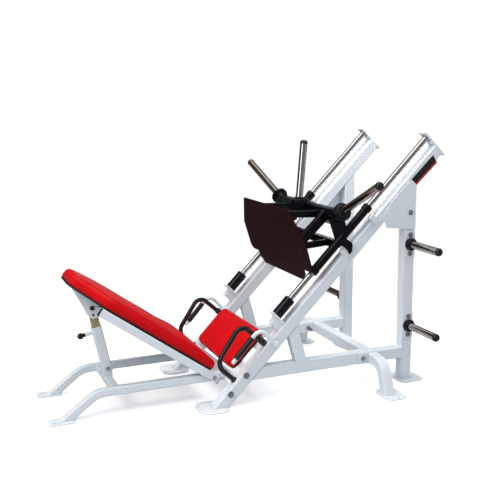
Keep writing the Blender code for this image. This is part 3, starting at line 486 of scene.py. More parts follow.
def skin(rings, caps=True, closed=False):
    """Loft through equal rings, closed into a torus or capped at the ends."""
    count, total = len(rings[0]), len(rings)
    vertices = [p for one in rings for p in one]
    faces = []
    for i in range(total if closed else total - 1):
        j = (i + 1) % total
        for k in range(count):
            after = (k + 1) % count
            faces.append((i * count + k, i * count + after, j * count + after,
                          j * count + k))
    if caps and not closed:
        faces.append(tuple(range(count))[::-1])
        faces.append(tuple((total - 1) * count + k for k in range(count)))
    return vertices, faces


def merge(*forms):
    vertices, faces = [], []
    for more_vertices, more_faces in forms:
        start = len(vertices)
        vertices += list(more_vertices)
        faces += [tuple(i + start for i in face) for face in more_faces]
    return vertices, faces


def lathe(start, direction, profile, count=48, tube=False):
    """Turned form; profile is (distance along, radius). A tube closes on itself."""
    direction = direction.normalized()
    across, up = frame_of(direction)
    rings = [ring(start + direction * along, across, up, max(radius, 1e-5), count)
             for along, radius in profile]
    return skin(rings, not tube, tube)


def band(start, end, inner, outer):
    """Rectangular lathe profile."""
    return [(start, inner), (start, outer), (end, outer), (end, inner)]


def bar_profile(length, radius, chamfer=0.001):
    return [(0, radius - chamfer), (chamfer, radius), (length - chamfer, radius),
            (length, radius - chamfer)]


def rounded(profile, radius, steps=4):
    """Profile with each of its inner points rounded."""
    points = [Vector((a, b, 0)) for a, b in profile]
    out = [profile[0]]
    for i in range(1, len(points) - 1):
        corner = points[i]
        back, ahead = points[i - 1] - corner, points[i + 1] - corner
        reach = min(radius, back.length * 0.45, ahead.length * 0.45)
        if reach < 1e-6:
            out.append(profile[i])
            continue
        start = corner + back.normalized() * reach
        end = corner + ahead.normalized() * reach
        for k in range(steps + 1):
            t = k / steps
            p = start * (1 - t) ** 2 + corner * 2 * t * (1 - t) + end * t ** 2
            out.append((p.x, p.y))
    out.append(profile[-1])
    return out


def fillet_path(points, radii, steps=8):
    """Path with an arc at each of its inner points."""
    out = [points[0]]
    for before, corner, after, radius in zip(points, points[1:], points[2:], radii):
        back, ahead = (before - corner).normalized(), (after - corner).normalized()
        angle = math.acos(max(-1.0, min(1.0, back.dot(ahead))))
        reach = radius / math.tan(angle / 2)
        centre = corner + (back + ahead).normalized() * (radius / math.sin(angle / 2))
        start = corner + back * reach - centre
        end = corner + ahead * reach - centre
        turn = math.acos(max(-1.0, min(1.0, start.normalized().dot(end.normalized()))))
        for k in range(steps + 1):
            t = k / steps
            out.append(centre + (start * math.sin((1 - t) * turn)
                                 + end * math.sin(t * turn)) / math.sin(turn))
    out.append(points[-1])
    return out


def resample(points, step, closed=False):
    """Evenly spaced points along a path."""
    source = list(points) + ([points[0]] if closed else [])
    reached = [0.0]
    for a, b in zip(source, source[1:]):
        reached.append(reached[-1] + (b - a).length)
    count = max(2, int(round(reached[-1] / step)))
    out, j = [], 0
    for i in range(count + (0 if closed else 1)):
        target = reached[-1] * i / count
        while j < len(reached) - 2 and reached[j + 1] < target:
            j += 1
        length = reached[j + 1] - reached[j]
        t = (target - reached[j]) / length if length > 0 else 0
        out.append(source[j].lerp(source[j + 1], t))
    return out


def dome_rings(centre, outward, base, radius):
    out = []
    for k in range(1, 5):
        angle = math.radians(20 * k)
        out.append([centre + outward * (radius * math.sin(angle))
                    + (p - centre) * math.cos(angle) for p in base])
    return out


def sweep(points, radius, count=16, closed=False, dome=False):
    """Round bar along a path; radius is a number or a function of the index."""
    radius_at = radius if callable(radius) else (lambda i: radius)
    total = len(points)
    tangents = []
    for i in range(total):
        a = points[(i - 1) % total] if closed or i > 0 else points[i]
        b = points[(i + 1) % total] if closed or i < total - 1 else points[i]
        tangents.append((b - a).normalized())
    across = frame_of(tangents[0])[0]
    rings = []
    for i, tangent in enumerate(tangents):
        across = (across - tangent * across.dot(tangent)).normalized()
        rings.append(ring(points[i], across, tangent.cross(across), radius_at(i), count))
    if dome:
        first = dome_rings(points[0], -tangents[0], rings[0], radius_at(0))
        last = dome_rings(points[-1], tangents[-1], rings[-1], radius_at(total - 1))
        rings = first[::-1] + rings + last
    return skin(rings, not closed, closed)


def hex_bolt(seat, direction, size, spin=0.0):
    """Hex head on a washer. size: head radius, head height, washer radius."""
    radius, height, washer_radius = size
    direction = direction.normalized()
    across, up = frame_of(direction)
    washer = lathe(seat, direction,
                   rounded(band(-0.0005, 0.0019, 0.0, washer_radius), 0.0006, 2), 32)
    count = 36
    rings = []
    # height, share of the head radius, round instead of hexagonal
    for along, share, is_round in ((0.0015, 1.0, False),
                                   (height * 0.80 + 0.0015, 1.0, False),
                                   (height + 0.0015, 0.86, True),
                                   (height + 0.0018, 0.55, True),
                                   (height + 0.0012, 0.50, True)):
        points = []
        for k in range(count):
            angle = 2 * math.pi * k / count
            reach = radius * share
            if not is_round:
                from_flat = (angle + spin) % (math.pi / 3) - math.pi / 6
                reach = reach * math.cos(math.pi / 6) / math.cos(from_flat)
            points.append(seat + direction * along + across * (reach * math.cos(angle))
                          + up * (reach * math.sin(angle)))
        rings.append(points)
    return merge(washer, skin(rings))


def bead(path, radius=0.0035, closed=True):
    """Fillet weld: a rippled bar along a path."""
    def rippled(i):
        drift = noise.noise(Vector((i * 0.13, 0.3, 0.7)))
        return radius * (1.0 + 0.16 * math.sin(i * 1.9) + 0.12 * drift)
    return sweep(resample(path, 0.0028, closed), rippled, 8, closed)


def bead_around(centre, across, up, half, corner, radius=0.0035):
    """Weld round a rectangular tube with cut corners; half is its half sizes."""
    a, b = half
    return bead([centre + across * x + up * y for x, y in (
        (a, -b + corner), (a, b - corner), (a - corner, b), (-a + corner, b),
        (-a, b - corner), (-a, -b + corner), (-a + corner, -b), (a - corner, -b))],
        radius)


# ------------------------------------------------------------- clevis bolts
# Bolt sizes: head radius, head height, washer radius.
CLEVIS_CAP = (0.0128, 0.0090, 0.0150)
CLEVIS_BOLT = (0.0062, 0.0050, 0.0076)
ROD_END_BOLT = (0.0150, 0.0080, 0.0200)
RAIL_BOLT = (0.0150, 0.0085, 0.0200)
UPRIGHT_BOLT = (0.0128, 0.0090, 0.0170)
OUTRIGGER_BOLT = (0.0128, 0.0100, 0.0170)
STORAGE_BOLT = (0.0125, 0.0100, 0.0165)
BRACE_BOLT = (0.0128, 0.0092, 0.0170)


def clevis_bolts(side, label):
    """Dark caps on the clevis pin and the small bolts through the clevis plates."""
    make("clevis_cap_" + label,
         hex_bolt(on_post(POST_LENGTH, 0, side * 0.0338), AXIS_Y * side, CLEVIS_CAP),
         PLASTIC, "post_inner", "steel", sharp=35)
    make("clevis_bolt_" + label,
         hex_bolt(on_backrest(0.796, -0.060, side * 0.0330), AXIS_Y * side, CLEVIS_BOLT),
         PLASTIC, "backrest", "steel", sharp=35)


# ------------------------------------------------- guide rods and bumpers
ROD_LENGTH = ROD_TOP - 0.0023
# bumper sleeve: distance along the rod, radius
BUMPER_PROFILE = [(0.0, ROD_RADIUS + 0.0004), (0.0, 0.0345), (0.006, 0.0350),
                  (0.060, 0.0343), (0.128, 0.0350), (0.134, 0.0340), (0.134, 0.0260),
                  (0.1310, ROD_RADIUS + 0.0004)]


def guide_rod(side, label):
    """Rod with its bumper, upper washer and end bolt."""
    start = on_rail(0, 0, side * RAIL_Y)
    make("rod_" + label,
         lathe(start, RAIL_ALONG, bar_profile(ROD_LENGTH, ROD_RADIUS), 64),
         CHROME, "frame", "chrome", sharp=40, replaces="guide_rod_" + label)
    make("bumper_rubber_" + label,
         lathe(start, RAIL_ALONG, rounded(BUMPER_PROFILE, 0.0035), 64, tube=True),
         RUBBER, "frame", "rubber", sharp=50, replaces="bumper_" + label)
    washer = band(1.4908, 1.4926, ROD_RADIUS + 0.0002, 0.0290)
    make("rod_washer_" + label,
         lathe(start, RAIL_ALONG, rounded(washer, 0.0005, 2), tube=True),
         STEEL, "frame", "steel", sharp=40)
    make("rod_end_bolt_" + label,
         hex_bolt(on_rail(1.5032, 0, side * RAIL_Y), RAIL_ALONG, ROD_END_BOLT, spin=0.3),
         ZINC, "frame", "steel", sharp=35)


# ------------------------------------------------------------ weight horns
HORN_CAP_LENGTH, HORN_CAP_GAP, HORN_CAP_RIM = 0.0237, 0.0003, 0.004
HORN_CAP_RADIUS = HORN_RADIUS + 0.0012
COLLAR_BORE = HORN_RADIUS + 0.0004
# collars: distance along the horn, radius
STORAGE_COLLAR = [(0.0003, COLLAR_BORE), (0.0003, 0.0415), (0.0170, 0.0415),
                  (0.0200, 0.0350), (0.0298, 0.0335), (0.0298, COLLAR_BORE)]
CENTRE_COLLAR = band(0.0006, 0.0090, COLLAR_BORE, 0.0310)
CARRIAGE_COLLAR = [(0.0006, COLLAR_BORE), (0.0006, 0.0570), (0.0200, 0.0570),
                   (0.0240, 0.0400), (0.0315, 0.0370), (0.0315, COLLAR_BORE)]
CENTRE_HORN_SEAT = 0.0025
CENTRE_HORN_LEAN = math.radians(5.2)
CARRIAGE_HORN_AXIS = Vector((-0.026, 0.471, 0.208)).normalized()


def horn(name, start, direction, length, collar, material, body, pattern):
    """Chrome bar, domed cap and rubber collar of one weight horn."""
    bar = length - HORN_CAP_LENGTH
    make(name + "_bar", lathe(start, direction, bar_profile(bar, HORN_RADIUS), 64),
         material, body, "chrome", sharp=40, replaces=pattern.format("horn"))
    base = bar + HORN_CAP_GAP
    dome = HORN_CAP_LENGTH - HORN_CAP_GAP - HORN_CAP_RIM
    cap = [(base, HORN_RADIUS * 0.8), (base, HORN_CAP_RADIUS)]
    for k in range(13):
        angle = math.radians(90 * k / 12)
        cap.append((base + HORN_CAP_RIM + dome * math.sin(angle),
                    max(0.0002, HORN_CAP_RADIUS * math.cos(angle) ** 0.8)))
    make(name + "_end", lathe(start, direction, cap), PLASTIC, body, "rubber",
         sharp=60, replaces=pattern.format("cap"))
    make(name + "_stop", lathe(start, direction, rounded(collar, 0.003), 56, tube=True),
         RUBBER, body, "rubber", sharp=60, replaces=pattern.format("collar"))


def carriage_horn_axis(side):
    """Base point and direction of a side horn of the carriage."""
    axis = CARRIAGE_HORN_AXIS
    return at(0.414, side * 0.448, 1.156), Vector((axis.x, side * axis.y, axis.z))


def all_horns():
    for side, label in SIDES:
        for level, z in STORAGE_LEVELS:
            horn("store_%s_%s" % (level, label), at(UPRIGHT_X, side * 0.4366, z),
                 AXIS_Y * side, 0.3254, STORAGE_COLLAR, HORN_CHROME, "frame",
                 "storage_{}_%s_%s" % (level, label))
    upward = Vector((math.sin(CENTRE_HORN_LEAN), 0, math.cos(CENTRE_HORN_LEAN)))
    horn("carriage_centre", at(0.345, 0, 1.196) + upward * CENTRE_HORN_SEAT, upward,
         0.386 - CENTRE_HORN_SEAT, CENTRE_COLLAR, UPRIGHT_HORN_CHROME, "carriage",
         "carriage_{}_centre")
    for side, label in SIDES:
        base, direction = carriage_horn_axis(side)
        horn("carriage_" + label, base + direction * 0.0003, direction, 0.5397,
             CARRIAGE_COLLAR, HORN_CHROME, "carriage", "carriage_{}_" + label)


# ----------------------------------------------------------- grab handles
RAIL_TOP_OFF = RAIL_OFFSET + RAIL_TUBE / 2 + 0.0003    # just above the rail's upper face
GRAB_LOW, GRAB_HIGH = -0.468, -0.178                   # the loop's ends along the rail


def grab_handle(side, label):
    """Bent bar on the rail, with a turned seat at each end."""
    y = side * (RAIL_Y - 0.004)
    corners = [on_rail(GRAB_LOW, RAIL_TOP_OFF, y), on_rail(-0.472, 0.088, y),
               on_rail(-0.188, 0.146, y), on_rail(GRAB_HIGH, RAIL_TOP_OFF, y)]
    forms = [sweep(resample(fillet_path(corners, [0.070, 0.055], 16), 0.006), 0.0155, 24)]
    for along, extra in ((GRAB_LOW, 0.0), (GRAB_HIGH, 0.034)):
        profile = [(0, 0), (0, 0.0215), (0.004 + extra, 0.0215),
                   (0.0065 + extra, 0.0170), (0.0110 + extra, 0.0162),
                   (0.0110 + extra, 0)]
        forms.append(lathe(on_rail(along, RAIL_TOP_OFF + 0.0002, y), RAIL_OFF,
                           rounded(profile, 0.0012, 3), 32))
    make("grab_loop_" + label, merge(*forms), GRIP, "frame", "rubber", sharp=45,
         replaces="grab_handle_" + label)


# ------------------------------------------------------------ lock levers
def lever_grip_profile():
    """Ribbed sleeve with a flange at each end: distance along, radius."""
    bore, flange, valley, rib = 0.0128, 0.0185, 0.0172, 0.0180
    profile = [(0, bore), (0, flange), (0.005, flange), (0.006, valley)]
    for k in range(13):
        start = 0.0105 + k * 0.0109
        profile += [(start, valley), (start + 0.0012, rib), (start + 0.0058, rib),
                    (start + 0.0070, valley)]
    return profile + [(0.1540, valley), (0.1550, flange), (0.1600, flange),
                      (0.1600, bore)]


def lock_lever(side, label):
    y = side * LEVER_Y
    body = "lever_" + label
    outward = AXIS_Y * side
    bend, tip = at(-0.135, y, 0.487), at(-0.312, y, 0.294)
    path = resample(fillet_path([at(LEVER_X, y, LEVER_Z), bend, tip], [0.050], 16), 0.006)
    hub = lathe(at(LEVER_X, side * 0.4286, LEVER_Z), outward,
                rounded(band(0, 0.0414, 0.0084, 0.0210), 0.0018, 3), 40, tube=True)
    make("lever_arm_" + label, merge(sweep(path, 0.0125, 24, dome=True), hub), WHITE,
         body, "white_frame", sharp=50, replaces="lock_lever_" + label)
    along = (tip - bend).normalized()
    make("lever_grip_" + label,
         lathe(bend + along * 0.078, along, lever_grip_profile(), 40, tube=True), GRIP,
         body, "rubber", sharp=50, replaces="lock_grip_" + label)
    make("lever_washer_" + label,
         lathe(at(LEVER_X, side * 0.4703, LEVER_Z), outward,
               rounded(band(0, 0.0016, 0.0085, 0.0150), 0.0004, 2), 32, tube=True),
         WHITE, body, "steel", sharp=40)


# --------------------------------------------------------------- pull pin
def pull_pin():
    """Pin square to the post, with a ball knob on a stepped neck."""
    start = on_post(0.242, 0.0263)
    shank_end, ball_centre, ball_radius = 0.0522, 0.0798, 0.0200
    neck = [(shank_end, 0.0), (shank_end, 0.0140), (0.0600, 0.0140), (0.0622, 0.0090),
            (0.0700, 0.0085), (0.0700, 0.0)]
    ball = []
    for k in range(17):
        angle = math.radians(-80 + 170 * k / 16)
        ball.append((ball_centre + ball_radius * math.sin(angle),
                     max(0.0002, ball_radius * math.cos(angle))))
    make("pin_knob", merge(lathe(start, POST_OFF, rounded(neck, 0.0010, 3), 40),
                           lathe(start, POST_OFF, ball)),
         PLASTIC, "pin", "black_plastic", sharp=40, replaces="pull_pin")
    shank = [(0, 0.0050), (0.0012, 0.0060), (shank_end, 0.0060), (shank_end, 0.0)]
    make("pin_shank", lathe(start, POST_OFF, shank, 24), STEEL, "pin", "steel", sharp=40)


# ---------------------------------------------------------- frame fasteners
# turned screw head with a recess: distance along, radius
SCREW_PROFILE = [(0, 0), (0, 0.0052), (0.0032, 0.0046), (0.0036, 0.0024),
                 (0.0024, 0.0022), (0.0024, 0)]


def frame_bolts(side, label):
    outward = AXIS_Y * side
    rail = [hex_bolt(at(x, side * 0.4281, z), outward, RAIL_BOLT, spin=x)
            for x, z in ((-0.219, 0.189), (-0.322, 0.083))]
    upright = [hex_bolt(at(0.926, side * 0.4344, 1.122), outward, UPRIGHT_BOLT,
                        spin=0.926),
               hex_bolt(at(BRACE_X - 0.070, side * 0.4364, BRACE_Z), outward,
                        OUTRIGGER_BOLT, spin=0.4)]
    for _, level_z in STORAGE_LEVELS:
        for rise in (-0.062, 0.062):
            upright.append(hex_bolt(at(UPRIGHT_X, side * 0.4364, level_z + rise),
                                    outward, STORAGE_BOLT, spin=rise * 9))
    brace = [hex_bolt(at(BRACE_X - 0.075, side * 0.3408, BRACE_Z), -outward, BRACE_BOLT,
                      spin=0.2)]
    # two screws in each bumper plate
    screws = [lathe(on_rail(-0.0008, off, side * RAIL_Y), RAIL_ALONG,
                    rounded(SCREW_PROFILE, 0.0005, 2), 20) for off in (0.040, -0.062)]
    for name, forms in (("rail_bolts_", rail), ("side_bolts_", upright),
                        ("brace_bolt_", brace), ("bumper_screws_", screws)):
        make(name + label, merge(*forms), ZINC, "frame", "steel", sharp=35)


# ------------------------------------------------- backrest tube end plugs
def end_plug(centre, across, up, outward):
    """Rounded rectangular plug with a slightly domed face."""
    half_across, half_up, depth, corner = 0.0148, 0.0248, 0.0040, 0.0055
    rings = []
    # station along the tube, inset of the outline
    for z, inset in ((-0.004, 0.0), (depth * 0.55, 0.0), (depth * 0.9, 0.0018),
                     (depth, 0.0055), (depth * 1.1, 0.010)):
        radius = max(corner - inset * 0.5, 0.001)
        points = []
        for sign_x, sign_y, first in ((1, 1, 0), (-1, 1, 90), (-1, -1, 180), (1, -1, 270)):
            for k in range(5):
                angle = math.radians(first + 22.5 * k)
                x = sign_x * (half_across - inset - radius) + radius * math.cos(angle)
                y = sign_y * (half_up - inset - radius) + radius * math.sin(angle)
                points.append(centre + across * x + up * y + outward * z)
        rings.append(points)
    return skin(rings)


def backrest_plugs():
    plugs = [end_plug(on_backrest(along, 0, side * BACKREST_TUBE_Y), AXIS_Y,
                      BACK_OFF * way, BACK_ALONG * way)
             for side, _ in SIDES for along, way in ((0.850, 1), (-0.036, -1))]
    make("backrest_plugs", merge(*plugs), PLASTIC, "backrest", "black_plastic", sharp=40)


# ------------------------------------------------------------- weld beads
def weld_beads(side, label):
    y = side * RAIL_Y

    def weld(name, *beads, material=WELD, body="frame", slot="white_frame"):
        make(name + "_welds_" + label, merge(*beads), material, body, slot)

    weld("upright",
         bead_around(at(UPRIGHT_X, y, PLATE_WELD_Z), AXIS_X, AXIS_Y,
                     half=(0.0395, 0.0395), corner=0.008),
         bead_around(at(UPRIGHT_X - 0.0385, y, BRACE_Z), AXIS_Y, AXIS_Z,
                     half=(0.0372, 0.0372), corner=0.008))
    # the sloping rail's footprint, where its centre line meets z = 0.006
    half_footprint = RAIL_TUBE / 2 / DIAGONAL
    foot_x = (0.006 - ROD_START_Z - RAIL_OFFSET * DIAGONAL) - RAIL_OFFSET * DIAGONAL
    weld("rail",
         bead_around(at(foot_x, y, PLATE_WELD_Z), AXIS_X, AXIS_Y,
                     half=(half_footprint + 0.001, 0.0390), corner=0.008),
         bead_around(on_rail(-0.014, -0.036, y), RAIL_OFF, AXIS_Y,
                     half=(0.0392, 0.0292), corner=0.003, radius=0.0028))
    weld("outrigger",
         bead_around(at(BRACE_X, side * 0.4372, BRACE_Z), AXIS_X, AXIS_Z,
                     half=(0.0352, 0.0352), corner=0.008),
         bead_around(at(BRACE_X, side * (0.628 - 0.0085), PLATE_WELD_Z), AXIS_X, AXIS_Y,
                     half=(0.0350, 0.0372), corner=0.008))
    weld("foot",
         bead_around(at(-1.316, side * 0.235, PLATE_WELD_Z), AXIS_X, AXIS_Y,
                     half=(0.0370, 0.0262), corner=0.006, radius=0.003))
    crossings = [bead_around(on_backrest(along, 0, side * (BACKREST_TUBE_Y - 0.0153)),
                             BACK_ALONG, BACK_OFF, half=(0.0205, 0.0215), corner=0.005,
                             radius=0.0026) for along in (0.160, 0.745)]
    # a straight bead along each face of the clevis plate
    clevis = [bead([on_backrest(0.7245, off, side * plate_y) for off in (-0.016, 0.020)],
                   0.0022, closed=False) for plate_y in (0.0263, 0.0333)]
    weld("backrest", *crossings, *clevis, body="backrest")
    base, direction = carriage_horn_axis(side)
    across, up = frame_of(direction)
    weld("carriage",
         bead(ring(base - direction * 0.0335, across, up, 0.0335, 40), 0.003),
         bead_around(at(0.405, side * 0.3610, 1.142), AXIS_X, AXIS_Z,
                     half=(0.0285, 0.0285), corner=0.005, radius=0.0026),
         material=BLACK, body="carriage", slot="black_frame")


# ------------------------------------------------------- plain side plates
STRIPE_SHARE = 0.24    # part of the plate's width that the red stripe takes


def panel(name, outline, normal, thickness, material, slot):
    form = skin([outline, [p + normal * thickness for p in outline]])
    make(name, form, material, "frame", slot, smooth=False)


def side_plate(side, label):
    """Black plate with a red stripe along one edge."""
    a, b, c, d = (at(x, side * 0.4283, z) for x, z in (
        (1.087, 1.482), (1.120, 1.433), (0.940, 1.270), (0.912, 1.317)))
    split_top, split_low = b.lerp(a, STRIPE_SHARE), c.lerp(d, STRIPE_SHARE)
    panel("side_plate_" + label, [a, split_top, split_low, d], AXIS_Y * side, 0.0011,
          PLASTIC, "black_plastic")
    panel("side_stripe_" + label, [split_top, b, c, split_low], AXIS_Y * side, 0.0010,
          STRIPE, "red_vinyl")


# --------------------------------------------------------------- cushions
def outline_points(corners, radii):
    """Closed outline with rounded corners, evenly spaced."""
    points = [Vector((*corner, 0)) for corner in corners]
    out = []
    for i, radius in enumerate(radii):
        trio = [points[i - 1], points[i], points[(i + 1) % len(points)]]
        out += fillet_path(trio, [radius])[1:-1]
    return resample(out, 0.010, True)


def inset_loop(points, distance, z):
    """Closed loop moved inwards in its plane, at height z."""
    pairs = list(zip(points, points[1:] + points[:1]))
    area = sum(p.x * q.y - q.x * p.y for p, q in pairs)
    sign = 1.0 if area > 0 else -1.0
    out = []
    for i, (point, after) in enumerate(pairs):
        tangent = (after - points[i - 1]).normalized()
        inward = Vector((-tangent.y, tangent.x, 0)) * (distance * sign)
        out.append(point + inward + Vector((0, 0, z)))
    return out


def cushion_shell(name, outline, height, seam_inset):
    """Closed shell of the padding before it is filled out."""
    # height, inset
    profile = ((0.0, 0.0045), (0.10 * height, 0.0015), (0.35 * height, 0.0020),
               (0.70 * height, 0.0055), (0.90 * height, seam_inset - 0.001),
               (0.955 * height, seam_inset + 0.006))
    mesh = mesh_from(name, skin([inset_loop(outline, inset, z) for z, inset in profile]))
    bm = bmesh.new()
    bm.from_mesh(mesh)
    bmesh.ops.recalc_face_normals(bm, faces=bm.faces)
    bmesh.ops.triangulate(bm, faces=[f for f in bm.faces if len(f.verts) > 4])
    bm.to_mesh(mesh)
    bm.free()
    return mesh


def evaluated(ob):
    return ob.evaluated_get(bpy.context.evaluated_depsgraph_get())


def baked_mesh(ob):
    """New mesh with the modifiers applied; the object loses them."""
    mesh = bpy.data.meshes.new_from_object(evaluated(ob))
    ob.modifiers.clear()
    return mesh


def vectors_of(items, attribute):
    values = np.zeros(len(items) * 3)
    items.foreach_get(attribute, values)
    return values.reshape(-1, 3)


def nearest_on_seam(points, seam):
    """Distance to the nearest seam point, and its index."""
    count = len(points)
    distance = np.full(count, 1e9)
    index = np.zeros(count, int)
    for k in range(0, len(seam), 100):    # in blocks, to limit memory
        block = np.linalg.norm(points[:, None, :] - seam[None, k:k + 100, :], axis=2)
        j = block.argmin(1)
        found = block[np.arange(count), j]
        index = np.where(found < distance, k + j, index)
        distance = np.minimum(distance, found)
    return distance, index


def inflate(ob, points, pinned, limit):
    """Blow the shell up as cloth and limit how far each vertex travels."""
    group = ob.vertex_groups.new(name="pin")
    group.add([int(i) for i in np.where(pinned)[0]], 1.0, "REPLACE")
    cloth = ob.modifiers.new("cloth", "CLOTH")
    settings = cloth.settings
    settings.quality = 5
    settings.mass = 0.3
    settings.tension_stiffness = 12
    settings.compression_stiffness = 12
    settings.shear_stiffness = 6
    settings.bending_stiffness = 0.4
    settings.use_pressure = True
    settings.uniform_pressure_force = 4.0
    settings.vertex_group_mass = "pin"
    settings.effector_weights.gravity = 0.0
    cloth.collision_settings.use_collision = False
    cloth.collision_settings.use_self_collision = False
    cloth.point_cache.frame_start = 1
    cloth.point_cache.frame_end = 20
    for number in range(1, 21):
        scene.frame_set(number)
    moved = vectors_of(evaluated(ob).data.vertices, "co")
    ob.modifiers.clear()
    scene.frame_set(1)
    travel = moved - points
    length = np.linalg.norm(travel, axis=1)
    kept = limit * np.tanh(length / limit)
    return points + travel * (kept / np.maximum(length, 1e-9))[:, None]


def stitched(points, normals, seam):
    """Seam groove, small puckers beside it and a gentle unevenness."""
    distance, index = nearest_on_seam(points, seam)
    wave = np.array([noise.noise(Vector((i * 0.23, 1.7, 0.2))) * 0.6
                     + 0.4 * math.sin(i * 0.9) for i in range(len(seam))])
    pucker = wave[index] * np.exp(-((distance - 0.010) / 0.008) ** 2) * 0.0006
    groove = -np.exp(-(distance / 0.0036) ** 2) * 0.0016
    uneven = np.array([noise.noise(Vector(tuple(p * 9.0))) for p in points])
    free = np.clip(points[:, 2] / 0.01, 0, 1)
    return points + normals * ((pucker + groove + uneven * 0.0008) * free)[:, None]


def piping_form(seam, points, normals, height_of, matrix):
    """Cord along the seam, sitting on the skin."""
    tree = KDTree(len(points))
    for i, point in enumerate(points):
        tree.insert(point, i)
    tree.balance()
    track = []
    for p in resample(seam, 0.004, True):
        p = Vector((p.x, p.y, float(height_of(np.array([[p.x, p.y, p.z]]))[0])))
        near = [i for _, i, _ in tree.find_n(p, 6)]
        centre = np.mean([points[i] for i in near], axis=0)
        normal = np.mean([normals[i] for i in near], axis=0)
        normal /= max(np.linalg.norm(normal), 1e-9)
        track.append(Vector(centre + normal * 0.0010))
    count = len(track)
    track = [(track[i - 1] + track[i] * 2 + track[(i + 1) % count]) / 4
             for i in range(count)]
    vertices, faces = sweep(track, 0.0019, 10, True)
    return [matrix @ v for v in vertices], faces


def plain_height(points):
    return points[:, 2]


def cushion(name, outline, height, seam_inset, matrix, body, node_name, crown, voxel,
            limit, height_of=plain_height):
    """Padded vinyl cushion. Local x, y in the plane of the board, z off it."""
    seam = inset_loop(outline, seam_inset, 0.915 * height)
    ob = bpy.data.objects.new(name, cushion_shell(name, outline, height, seam_inset))
    scene.collection.objects.link(ob)
    remesh = ob.modifiers.new("remesh", "REMESH")
    remesh.mode = "VOXEL"
    remesh.voxel_size = voxel * 1.0
    ob.data = baked_mesh(ob)

    points = vectors_of(ob.data.vertices, "co")
    seam_points = np.array([(p.x, p.y, p.z) for p in resample(seam, 0.003, True)])
    distance, _ = nearest_on_seam(points, seam_points)
    topness = np.clip((points[:, 2] - 0.80 * height) / (0.15 * height), 0, 1)
    pinned = (points[:, 2] < 0.0035) | (distance < voxel * 0.95)
    points = inflate(ob, points, pinned, limit)
    # crown of the top face, full inside and falling to the seam
    inside = np.clip(distance / 0.085, 0, 1)
    points[:, 2] += crown * (1 - (1 - inside) ** 2) * topness
    ob.data.vertices.foreach_set("co", points.ravel())
    ob.vertex_groups.clear()
    subdivide = ob.modifiers.new("sub", "SUBSURF")
    subdivide.levels = subdivide.render_levels = 1
    mesh = baked_mesh(ob)
    bpy.data.objects.remove(ob, do_unlink=True)

    normals = vectors_of(mesh.vertex_normals, "vector")
    points = stitched(vectors_of(mesh.vertices, "co"), normals, seam_points)
    points[:, 2] = height_of(points)
    mesh.vertices.foreach_set("co", points.ravel())
    mesh.transform(matrix)
    mesh.update()
    place(name, mesh, VINYL, body, "red_vinyl", replaces=node_name)
    make(name + "_piping", piping_form(seam, points, normals, height_of, matrix), PIPING,
         body, "red_vinyl")


def local_frame(origin, *axes):
    matrix = Matrix(axes).transposed().to_4x4()
    matrix.translation = origin
    return matrix


BACK_LOW, BACK_SHOULDER, BACK_HIGH = 0.028, 0.83, 1.062     # stations up the backrest
BACK_LOW_Y, BACK_SHOULDER_Y, BACK_HIGH_Y = 0.292, 0.278, 0.125    # half widths there
# fullness along the backrest: thin at the seat, lumbar swell, level above
FULLNESS = ((BACK_LOW, 0.74), (0.10, 0.86), (0.17, 0.985), (0.225, 1.08), (0.275, 1.08),
            (0.345, 0.985), (0.42, 1.0), (BACK_HIGH, 1.0))
fullness_at = np.linspace(-0.1, 1.2, 651)
fullness = np.interp(fullness_at, *zip(*FULLNESS))
# smoothed with a bell-shaped window
window = np.hanning(27) / np.hanning(27).sum()
fullness = np.convolve(np.pad(fullness, 13, mode="edge"), window, "valid")

SEAT_LOW, SEAT_HIGH = -0.428, -0.127    # along the rail frame
SEAT_HALF_Y = 0.306


def lumbar(points):
    """Height above the board after the lengthwise fullness of the padding."""
    return points[:, 2] * np.interp(points[:, 0], fullness_at, fullness)


def cushions():
    outline = outline_points(
        [(BACK_LOW, -BACK_LOW_Y), (BACK_SHOULDER, -BACK_SHOULDER_Y),
         (BACK_HIGH, -BACK_HIGH_Y), (BACK_HIGH, BACK_HIGH_Y),
         (BACK_SHOULDER, BACK_SHOULDER_Y), (BACK_LOW, BACK_LOW_Y)],
        [0.035, 0.14, 0.06, 0.06, 0.14, 0.035])
    cushion("backrest_cushion", outline, height=0.0655, seam_inset=0.020,
            matrix=local_frame(on_backrest(0, 0.0376, 0), BACK_ALONG, -AXIS_Y, BACK_OFF),
            body="backrest", node_name="backrest_pad", crown=0.004, voxel=0.0065,
            limit=0.010, height_of=lumbar)
    half = (SEAT_HIGH - SEAT_LOW) / 2
    outline = outline_points([(SEAT_HALF_Y, -half), (SEAT_HALF_Y, half),
                              (-SEAT_HALF_Y, half), (-SEAT_HALF_Y, -half)], [0.045] * 4)
    centre = on_rail((SEAT_LOW + SEAT_HIGH) / 2, -0.0570, 0)
    cushion("seat_cushion", outline, height=0.0490, seam_inset=0.016,
            matrix=local_frame(centre, -AXIS_Y, RAIL_ALONG, RAIL_OFF),
            body="frame", node_name="seat_pad", crown=0.003, voxel=0.0055, limit=0.008)


